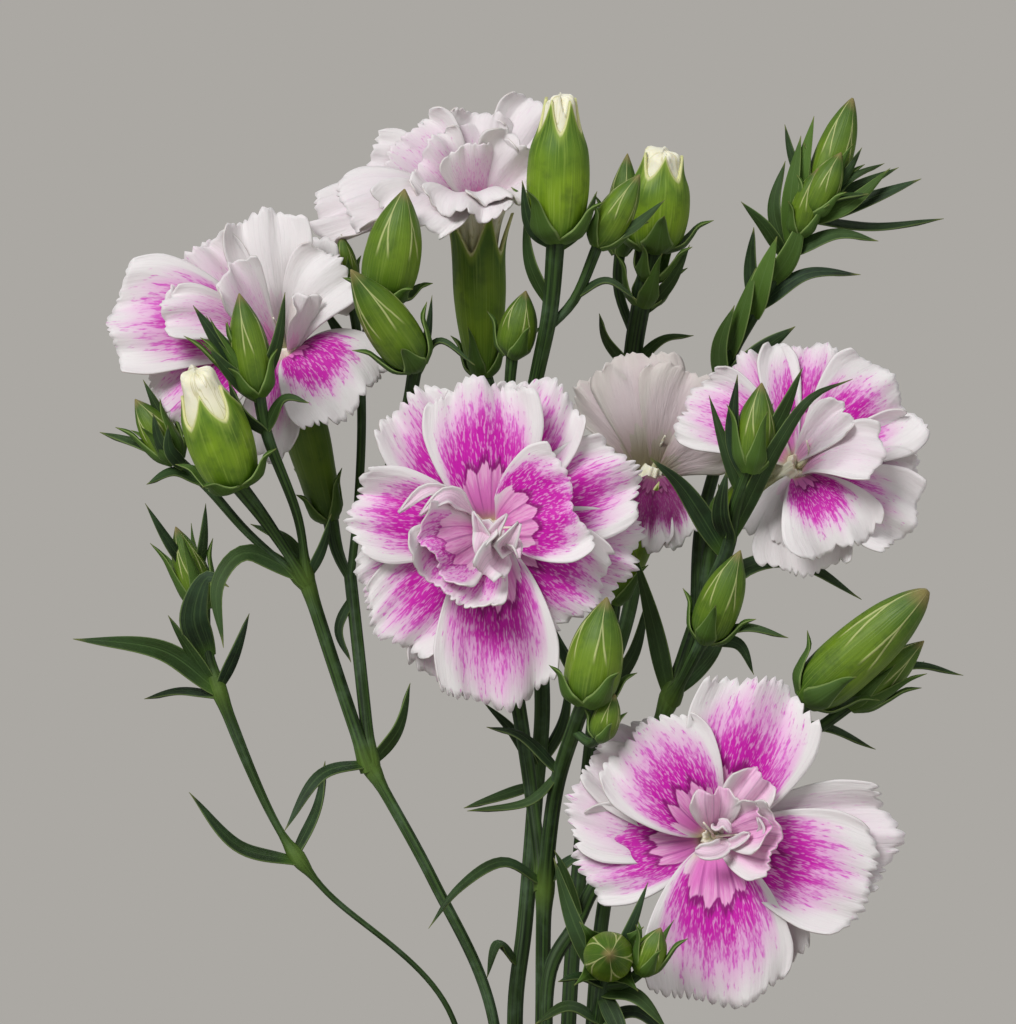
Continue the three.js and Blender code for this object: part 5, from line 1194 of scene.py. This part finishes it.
shootShort = {
    "stems": [
        ([(11, -13, 86), (11, -13, 100), (9.6, -20, 128), (10.6, -25, 139), (11.4, -27.4, 144.4)], 1.2, 1.5),
        ([(10.8, -25.6, 140), (14, -28, 140.6), (16.5, -30, 142.8)], 0.9, 1.1),
    ],
    "leaves": [
        ([(10.8, -25.5, 140.6), (6.6, -27, 149), (3.4, -28, 159)], 3, (-0.3, -0.9, 0)),
        ([(11, -26, 141), (14.4, -29.6, 148.4), (17.2, -31, 155.6)], 2.2, (0.3, -0.9, 0)),
        ([(10.8, -25.5, 140), (7, -29, 141.6), (4, -31, 141)], 2.2),
        ([(10.6, -25, 139), (15.4, -29, 138.6), (20, -31, 134)], 3, (0.2, -0.8, 0.5)),
        ([(10.6, -25, 139), (13, -29, 133.5), (12.6, -31, 128.6)], 3, (0, -0.9, -0.3)),
        ([(10.2, -23, 134.6), (5.4, -26.5, 137), (0.6, -29, 134.6)], 2.6),
        ([(10.2, -23, 134.6), (15.6, -24, 136), (20.6, -25.5, 132)], 2.6),
    ],
    "buds": [
        ((11.4, -26.4, 144.2), (11.5, -38, 145.4), 3.7, 6, 4, 0.7, 1.0, 0.4),
        ((16.3, -30, 142.2), (19, -33, 149), 2.4, 8, 5, 0.4, 1.0, 0.5),
    ],
}

greens = {
    "stem_left": stemLeft, "stem_branched": stemBranched, "stem_middle": stemMiddle, "stem_front": stemFront,
    "stem_low": stemLow, "stem_back": stemBack, "stem_right": stemRight, "shoot_short": shootShort,
}
stemForm = {"step": 1.4, "knotReach": 2.6, "knotTone": 3.0, "knotSize": 0.72, "slim": (0.76, 0.8)}


def stemPath(route, start, end, knots, slim):
    rough = smoothPath(route, 40)
    length = np.linalg.norm(np.diff(rough, axis=0), axis=1).sum()
    spots = smoothPath(route, max(6, round(length / stemForm["step"])))
    sizes = np.linspace(start, end, len(slim)) * slim
    radius = np.interp(np.linspace(0, 1, len(spots)), np.linspace(0, 1, len(slim)), sizes)
    tone = np.zeros(len(spots))
    for centre, swelling in knots:
        gap = np.linalg.norm(spots - np.array(centre), axis=1)
        bulge = (swelling * stemForm["knotSize"] - radius) * np.exp(-(gap / stemForm["knotReach"]) ** 2)
        radius = radius + np.maximum(bulge, 0)
        tone = np.maximum(tone, np.exp(-(gap / stemForm["knotTone"]) ** 2))
    along = np.linspace(0, length * mm, len(spots))
    return {"points": spots, "radius": radius * mm, "along": along, "tone": tone}


leafForm = {"steps": 22, "face": (0, -0.7, 0.7), "tone": (0.0, 0.25)}


def leafPath(route, width, face, tone, draw, steps=leafForm["steps"]):
    return {"points": smoothPath(route, steps), "share": np.linspace(0, 1, steps), "width": width * mm,
            "face": np.array(face, float), "tone": tone, "seed": draw.uniform()}


bractForm = {
    "spread": 1.05, "steps": 16, "tone": 0.6, "short": 0.8,
    "stops": ((0.0, 0.4), (0.2, 0.92), (0.5, 1.16), (0.78, 1.34), (1, 1.8)),
    "blade": {"Foot": 0.8, "Widest": 0.3, "Taper": 0.75, "Channel": -0.4, "Thickness": 0.0005},
}


def bractPaths(base, axis, radius, length, count, turn, draw):
    # pointed scales round the foot of a bud, which lie against it and spring out at the tip
    size, paths = bractForm, []
    across, along = squareTo(axis)
    for index in range(count):
        angle = turn + 2 * math.pi * index / count
        out = math.cos(angle) * across + math.sin(angle) * along
        reach = length * (size["short"] if index % 2 else 1)
        route = [base + axis * reach * share + out * radius * gap for share, gap in size["stops"]]
        paths.append(leafPath(route, radius * size["spread"], out, size["tone"], draw, size["steps"]))
    return paths


budForm = {
    "outline": [(0, 0.34), (0.06, 0.62), (0.18, 0.93), (0.32, 1.0), (0.5, 0.96), (0.68, 0.78), (0.84, 0.46),
                (0.94, 0.2), (1, 0.03)],
    "sides": 50, "rings": 30, "lobes": 5, "twist": 0.35, "step": 0.05, "ridge": 0.008, "ridges": 8,
    "tone": (0.4, 0.6),
}


def budSkin(base, tip, radius, tone, full, draw):
    # closed calyx whose five teeth overlap in a slight spiral towards the tip
    size = budForm
    outline = smoothPath(size["outline"], size["rings"])
    share = outline[:, :1]
    turn = np.linspace(0, size["lobes"], size["sides"], endpoint=False)[None, :]
    first = draw.uniform()
    lobe = (turn + size["twist"] * share + first) % 1
    overlap = size["step"] * (lobe - 0.5) * np.clip((share - 0.35) / 0.25, 0, 1)
    ridges = size["ridge"] * np.sin(turn * 2 * math.pi * size["ridges"])
    radii = outline[:, 1:] ** (1 / full) * radius * (1 + overlap + ridges)
    return turnedSkin(base, tip, outline[:, 0], radii, budCoat, lobe=first, edge=9.0,
                      seed=draw.uniform(), tone=tone)


cupForm = {"sides": 60, "rings": 22, "inner": 8, "wall": 0.45, "deep": 0.35, "lobes": 5, "edge": 9}


def cupSkin(base, axis, radiusAt, valley, peak, turn, tone, draw):
    # open calyx: a thin cup whose rim rises in five pointed teeth; heights in millimetres
    size = cupForm
    across, along = squareTo(axis)
    angle = circle(size["sides"])
    tooth = np.abs((((angle - turn) / (2 * math.pi) * size["lobes"]) % 1) * 2 - 1)
    rim = (valley + (peak - valley) * tooth ** 1.5)[None, :]
    out = np.cos(angle)[:, None] * across + np.sin(angle)[:, None] * along

    def wall(shares, inset):
        heights = shares * rim
        radius = radiusAt(heights) - inset
        return base + heights[..., None] * axis + radius[..., None] * out

    outer = np.linspace(0, 1, size["rings"])[:, None]
    inner = np.linspace(1, size["deep"], size["inner"])[:, None]
    rings = np.concatenate([wall(outer, 0), wall(inner, size["wall"])])
    shares = np.concatenate([outer, inner])
    edge = np.minimum((1 - shares) * rim, size["edge"])
    return ringSkin(rings, shares.ravel(), budCoat, edge=edge, lobe=-1.0, seed=draw.uniform(), tone=tone)


openForm = {"wall": 0.4, "folds": 4, "foldDepth": 0.16, "crumple": 0.5, "sides": 72}


def openRadius(bud, long):  # outside of an opening bud by height
    shape = smoothPath([(0, 0.42), (0.12, 0.84), (0.36, 1), (0.6, 0.95), (0.8, 0.5 * bud["top"] + 0.4),
                        (1, bud["top"])], 40)
    return lambda height: np.interp(height / long, shape[:, 0], shape[:, 1]) * bud["radius"]


def rolledSkin(form, draw):
    # rolled petals that fill an opening bud, folded over each other in a spiral
    size = openForm
    base, tip, axis, long = endsOf(form)
    radiusAt = openRadius(form, long)
    shares = np.concatenate([np.linspace(0.5, 0.93, 20), [0.955, 0.975, 0.99, 1.0, 1.0]])
    inside = radiusAt(shares * long) - size["wall"]
    inside[-5:] *= (0.97, 0.88, 0.7, 0.4, 0.03)
    turn = np.linspace(0, 1, size["sides"], endpoint=False)[None, :]
    share = shares[:, None]
    folds = (turn * size["folds"] + 1.6 * share + draw.uniform()) % 1
    rise = np.clip((share - 0.78) / 0.18, 0, 1)
    first, second = draw.uniform(0, 6.3, 2)
    radii = inside[:, None] * (1 + (size["foldDepth"] * (folds - 0.6) + 0.03 * np.sin(turn * 44)) * rise)
    crumple = size["crumple"] * (np.sin(3 * turn * 2 * math.pi + first) + 0.6 * np.sin(
        7 * turn * 2 * math.pi + second) + 1.2 * (folds - 0.5)) * rise * np.clip((1.02 - share) * 30, 0, 1)
    heights = share + (crumple - size["crumple"]) * rise / long
    across, along = squareTo(axis)
    angle = turn[..., None] * 2 * math.pi
    rings = base + heights[..., None] * (tip - base) + radii[..., None] * (
        np.cos(angle) * across + np.sin(angle) * along)
    return ringSkin(rings, shares, creamCoat, seed=draw.uniform())


calyxForm = {
    "foot": 1.6, "dip": 2, "tooth": 1, "flare": 1.7, "tone": 0.85, "bracts": (2.8, 8, 4), "turn": 0.5,
}


def calyxSkin(bloom, turn, tone, draw):  # tube of an open bloom, with its teeth round the claws
    size = calyxForm
    base, _, axis, long = endsOf(bloom, "throat")
    mouth, wide = long - bloom["claw"], bloom["mouth"]
    valley, peak = mouth - size["dip"], mouth + bloom["claw"] - size["tooth"]
    shape = smoothPath([
        (0, size["foot"]), (0.14 * mouth, 2.5), (0.36 * mouth, wide * 0.84), (0.6 * mouth, wide * 0.97),
        (valley, wide), (mouth, wide + 0.25), (peak, wide + size["flare"]),
    ], 60)

    def radiusAt(height):
        return np.interp(height, shape[:, 0], shape[:, 1])

    return cupSkin(base, axis, radiusAt, valley, peak, turn, tone, draw)


def greenPiece(node, form, seed):
    draw = np.random.default_rng(seed)
    knots, slim = form.get("knots", []), form.get("slim", stemForm["slim"])
    stems = [stemPath(route, start, end, knots, slim) for route, start, end in form["stems"]]
    leaves, bracts, skins = [], [], []
    for route, width, *rest in form.get("leaves", []):
        face = rest[0] if rest else leafForm["face"]
        tone = rest[1] if len(rest) > 1 else draw.uniform(*leafForm["tone"])
        leaves.append(leafPath(route, width, face, tone, draw))
    for base, axis, *scales in form.get("bracts", []):
        bracts += bractPaths(np.array(base, float), unit(np.array(axis, float)), *scales, draw)
    for base, tip, radius, length, count, turn, *full in form.get("buds", []):
        base, tip = np.array(base, float), np.array(tip, float)
        tone = full[1] if len(full) > 1 else draw.uniform(*budForm["tone"])
        skins.append(budSkin(base, tip, radius, tone, full[0] if full else 1, draw))
        bracts += bractPaths(base, unit(tip - base), radius, length, count, turn, draw)
    if "opening" in form:
        bud, turn = form["opening"]
        base, _, axis, long = endsOf(bud)
        skins.append(cupSkin(base, axis, openRadius(bud, long), bud["valley"] * long, bud["peak"] * long,
                             turn, 1.0, draw))
        bracts += bractPaths(base, axis, bud["radius"], bud["bracts"], 4, turn, draw)
    if "calyx" in form:
        bloom, turn, *tone = form["calyx"]
        skins.append(calyxSkin(bloom, turn, *(tone or [calyxForm["tone"]]), draw))
        base, _, axis, _ = endsOf(bloom, "throat")
        bracts += bractPaths(base, axis, *calyxForm["bracts"], turn + calyxForm["turn"], draw)
    made = grow(pathObject(pieceName(node), stems), stemGrower, Coat=stemCoat)
    parts = []
    if leaves:
        parts.append(grow(pathObject("leaves", leaves), leafGrower, Coat=leafCoat))
    if bracts:
        parts.append(grow(pathObject("bracts", bracts), leafGrower, Coat=leafCoat, **bractForm["blade"]))
    if skins:
        parts.append(makeObject("buds", skins))
    return joinInto(made, parts)


for number, (node, form) in enumerate(greens.items()):
    settle(greenPiece(node, form, 70 + number), node)

for number, (node, form) in enumerate(openings.items()):
    draw = np.random.default_rng(90 + number)
    settle(makeObject(pieceName(node), [rolledSkin(form, draw)]), node)


tuftForm = {
    "pairs": 3, "soilTop": 100, "lift": 3.4, "slope": 0.35, "longest": 19, "leafWidth": 2.6,
    "radii": (1.1, 0.8), "tone": (0.1, 0.4), "root": 8,
    "places": {"tuft_left": (-25, 6, math.pi), "tuft_right": (26, -14, -0.5), "tuft_back": (6, 27, 1.4)},
}


def tuftPiece(node, x, y, lean, seed):  # a short leafy shoot at the soil, which leans one way
    draw, size = np.random.default_rng(seed), tuftForm
    outward = np.array((math.cos(lean), math.sin(lean), 0))
    ground = np.array((x, y, size["soilTop"]), float)

    def at(height):
        return ground + (0, 0, height) + outward * height * size["slope"]

    top = 5 + size["lift"] * size["pairs"]
    route = [ground - (0, 0, size["root"]), at(0), at(top / 2), at(top)]
    stems = [stemPath(route, *size["radii"], [], stemForm["slim"])]
    leaves = []
    for pair in range(size["pairs"]):
        height, length = 4 + size["lift"] * pair, size["longest"] - 2 * pair
        for turn in (0, math.pi):
            angle = lean + math.pi / 4 + (pair % 2) * (math.pi / 2) + turn
            out = np.array((math.cos(angle), math.sin(angle), 0))
            stops = ((0, 0), (0.4, 0.45), (0.85, 0.5))
            route = [at(height) + out * length * share + (0, 0, length * rise) for share, rise in stops]
            tone = draw.uniform(*size["tone"])
            leaves.append(leafPath(route, size["leafWidth"], 0.5 * -out + (0, 0, 0.9), tone, draw))
    made = grow(pathObject(pieceName(node), stems), stemGrower, Coat=stemCoat)
    return joinInto(made, [grow(pathObject("leaves", leaves), leafGrower, Coat=leafCoat)])


for number, (node, place) in enumerate(tuftForm["places"].items()):
    settle(tuftPiece(node, *place, 110 + number), node)


potForm = {
    "height": 108, "top": 54, "foot": 40, "under": 51.8, "wall": 2.4, "rim": 13, "sides": 160,
    "hole": 4, "holeRing": 24, "corner": 0.8,
}


def potRadius(height):  # outer wall of the pot under its rim
    return potForm["foot"] + (potForm["under"] - potForm["foot"]) * height / potForm["height"]


soilForm = {
    "top": 100, "floor": 3.35, "wall": 3.35, "sides": 120, "seed": 5, "spacing": 0.0014, "crumb": 0.0011,
    "density": 260000.0, "bumps": (0.35, 0.3, 0.22, 0.18, 0.14, 0.1),
}


def soilTree():
    # crumbs of peat strewn over the top of the soil, each turned and sized at random
    flow, size = newTree("soilTree", {
        "Spacing": soilForm["spacing"], "Size": soilForm["crumb"], "Seed": soilForm["seed"],
    })
    values = {"Mesh": size["Geometry"], "Distance Min": size["Spacing"], "Density Max": soilForm["density"],
              "Seed": size["Seed"], "Selection": recall(flow, "crumbs")}
    spots = flow.node("GeometryNodeDistributePointsOnFaces", {"distribute_method": "POISSON"}, values)
    crumb = flow.node("GeometryNodeMeshIcoSphere", None, {"Radius": 1.0, "Subdivisions": 1})

    def chance(low, high, seed):
        values = {"Min": low, "Max": high, "Seed": seed}
        return flow.node("FunctionNodeRandomValue", {"data_type": "FLOAT_VECTOR"}, values)

    turn = chance((0, 0, 0), (6.3, 6.3, 6.3), 3)
    scale = chance((0.35, 0.35, 0.25), (1.5, 1.2, 0.9), 4).scaled(size["Size"])
    tint = flow.node("FunctionNodeRandomValue", {"data_type": "FLOAT"}, {"Seed": 6}, 1)
    values = {"Points": store(flow, spots, "seed", tint), "Instance": crumb, "Rotation": turn, "Scale": scale}
    crumbs = flow.node("GeometryNodeInstanceOnPoints", None, values)
    both = flow.node("GeometryNodeJoinGeometry")
    for shape in (size["Geometry"], crumbs):
        flow.tree.links.new(shape.socket, both.socket.node.inputs[0])
    return closeTree(flow, both, size["Coat"])


def soilPiece():
    size = soilForm
    draw = np.random.default_rng(size["seed"])
    inside = potRadius(90) - size["wall"]
    stops = [(potRadius(size["floor"]) - size["wall"], size["floor"]), (potRadius(60) - size["wall"], 60),
             (inside - 0.2, 90), (inside - 0.6, 96.6)]
    top = np.linspace(inside - 1.6, 0.6, 44)
    level = size["top"] - 3 * np.clip((top - 30) / 18, 0, 1) ** 1.5  # lower towards the wall
    outline = np.array(stops + list(zip(top, level)))
    ring = np.arange(len(outline))[:, None]
    turn = circle(size["sides"])
    x, y = outline[:, :1] * np.cos(turn), outline[:, :1] * np.sin(turn)
    bumps = sum(height * np.sin(a * x + b * y + c) for height, a, b, c in zip(
        size["bumps"], *draw.uniform(-0.9, 0.9, (2, 6)), draw.uniform(0, 6.3, 6)))
    skin = latheSkin(outline, size["sides"], outline[:, 1] / 100, soilCoat, bumps * (ring > 3), seed=0.0,
                     crumbs=(ring > 2).astype(float))
    return grow(makeObject("soilBed", [skin]), soilTree(), Coat=soilCoat)


settle(soilPiece(), "soil")


def potPiece():
    size = potForm
    high, top, foot = size["height"], size["top"], size["foot"]
    rim, inner, corner = high - size["rim"], size["wall"], size["corner"]
    outer = [(0.4, 1.2), (foot - 9, 1.2), (foot - 7, 0.9), (foot - 5.4, 0), (foot - 1.6, 0),
             (foot - 0.5, 0.3), (potRadius(1.6) - 0.1, 1.2), (potRadius(3), 3)]
    outer += [(potRadius(height), height) for height in np.linspace(8, rim - 3, 22)]
    outer += [(potRadius(rim - 1.4), rim - 1.4), (potRadius(rim - 1) + 0.5, rim - 0.9),
              (top - 0.9, rim - 0.5), (top - 0.45, rim - 0.2), (top - 0.35, rim + 0.5)]
    outer += [(top - 0.3 + 0.28 * share, rim + share * (size["rim"] - 1.6))
              for share in (0.2, 0.4, 0.6, 0.8, 1)]
    outer += [(top - 0.12, high - corner), (top - 0.5, high - 0.2), (top - 1.0, high), (top - 2.2, high),
              (top - 2.7, high - 0.2), (top - corner - inner, high - corner)]
    inside = [(top - 3.3, high - 6), (top - 3.5, rim + 3), (potRadius(rim) - inner + 0.4, rim),
              (potRadius(rim) - inner, rim - 2)]
    inside += [(potRadius(height) - inner, height) for height in np.linspace(rim - 8, 8, 10)]
    inside += [(potRadius(5) - inner - 0.2, 5), (potRadius(3) - inner - 1.2, 3.3),
               (potRadius(3) - inner - 3, 3), (10, 3), (0.4, 3)]
    outline = np.array(outer + inside)
    made = makeObject("potBody", [latheSkin(outline, size["sides"], outline[:, 1] / high, potCoat)])
    faceOutwards(made)
    drills = []
    for quarter in range(4):
        angle = (quarter + 0.5) * math.pi / 2
        centre = np.array((size["holeRing"] * math.cos(angle), size["holeRing"] * math.sin(angle), -4.0))
        radii = np.full((2, 48), float(size["hole"]))
        drills.append(turnedSkin(centre, centre + (0, 0, 12), (0, 1), radii, potCoat))
    drill = makeObject("drill", drills)
    faceOutwards(drill)
    cut = made.modifiers.new("holes", "BOOLEAN")
    cut.object, cut.operation, cut.solver = drill, "DIFFERENCE", "EXACT"
    evaluated = made.evaluated_get(bpy.context.evaluated_depsgraph_get())
    made.data = bpy.data.meshes.new_from_object(evaluated)
    made.modifiers.clear()
    bpy.data.objects.remove(drill)
    return made


settle(potPiece(), "pot")


stageForm = {
    "floor": 2000, "pale": paint(186, 183, 178), "light": paint(200, 198, 194),
    "backdrop": paint(171, 168, 163), "dim": paint(126, 126, 128),
    "centre": (-0.0033, 0.2097), "distance": 1.25, "frameHeight": 0.1536, "sensor": 36,
    "lamps": {  # where each stands, its strength and its spread in degrees
        "key": ((-0.7, -1.15, 0.95), 2.5, 25), "fill": ((1.0, -0.9, 0.4), 0.5, 60),
        "rim": ((0.3, 0.8, 0.9), 0.4, 40),
    },
}


def floorCoating(flow, look):
    cloud = flow.noise(flow.body(), 3, 3, 0.5)
    colour = layered(look, "pale", [(cloud.ease(0.3, 0.7) * 0.08, "light")])
    finishCoat(flow, colour, 0.8 + 0.05 * cloud, cloud, 0.02, 0.001, 0.2)


def floorPiece():
    wide = stageForm["floor"]
    outline = np.array([(wide, -0.6), (wide, -0.001), (1.0, -0.001)])
    coat = newCoat("floor", stageForm, floorCoating)
    floor = makeObject("floor", [latheSkin(outline, 96, (0.0, 0.5, 1.0), coat)])
    faceOutwards(floor)


def softLight(name, place, strength, spread):  # broad far light, the same over the whole floor
    lamp = bpy.data.lights.new(name, "SUN")
    lamp.energy, lamp.angle = strength, math.radians(spread)
    made = linkedObject(name, lamp)
    made.location = place
    made.rotation_euler = (-Vector(place)).to_track_quat("-Z", "Y").to_euler()


def camera():
    size = stageForm
    lens = bpy.data.cameras.new("camera")
    made = linkedObject("camera", lens)
    x, z = size["centre"]
    made.location = (x, -size["distance"], z)
    made.rotation_euler = (math.pi / 2, 0, 0)
    lens.sensor_width = size["sensor"]
    lens.lens = size["sensor"] * size["distance"] / size["frameHeight"]
    lens.clip_start, lens.clip_end = 0.05, 50
    scene.camera = made


def surroundings():
    world = bpy.data.worlds.new("studio")
    world.use_nodes = True
    world.node_tree.nodes.clear()
    flow = Flow(world.node_tree)
    seen = flow.node("ShaderNodeLightPath", None, None, "Is Camera Ray")
    colour = seen.mix(stageForm["dim"], stageForm["backdrop"])
    light = flow.node("ShaderNodeBackground", None, {"Color": colour, "Strength": 1.0})
    flow.node("ShaderNodeOutputWorld", None, {"Surface": light})
    scene.world = world
    scene.view_settings.view_transform = "Standard"


floorPiece()
for name, lamp in stageForm["lamps"].items():
    softLight(name, *lamp)
camera()
surroundings()
print("stage set")
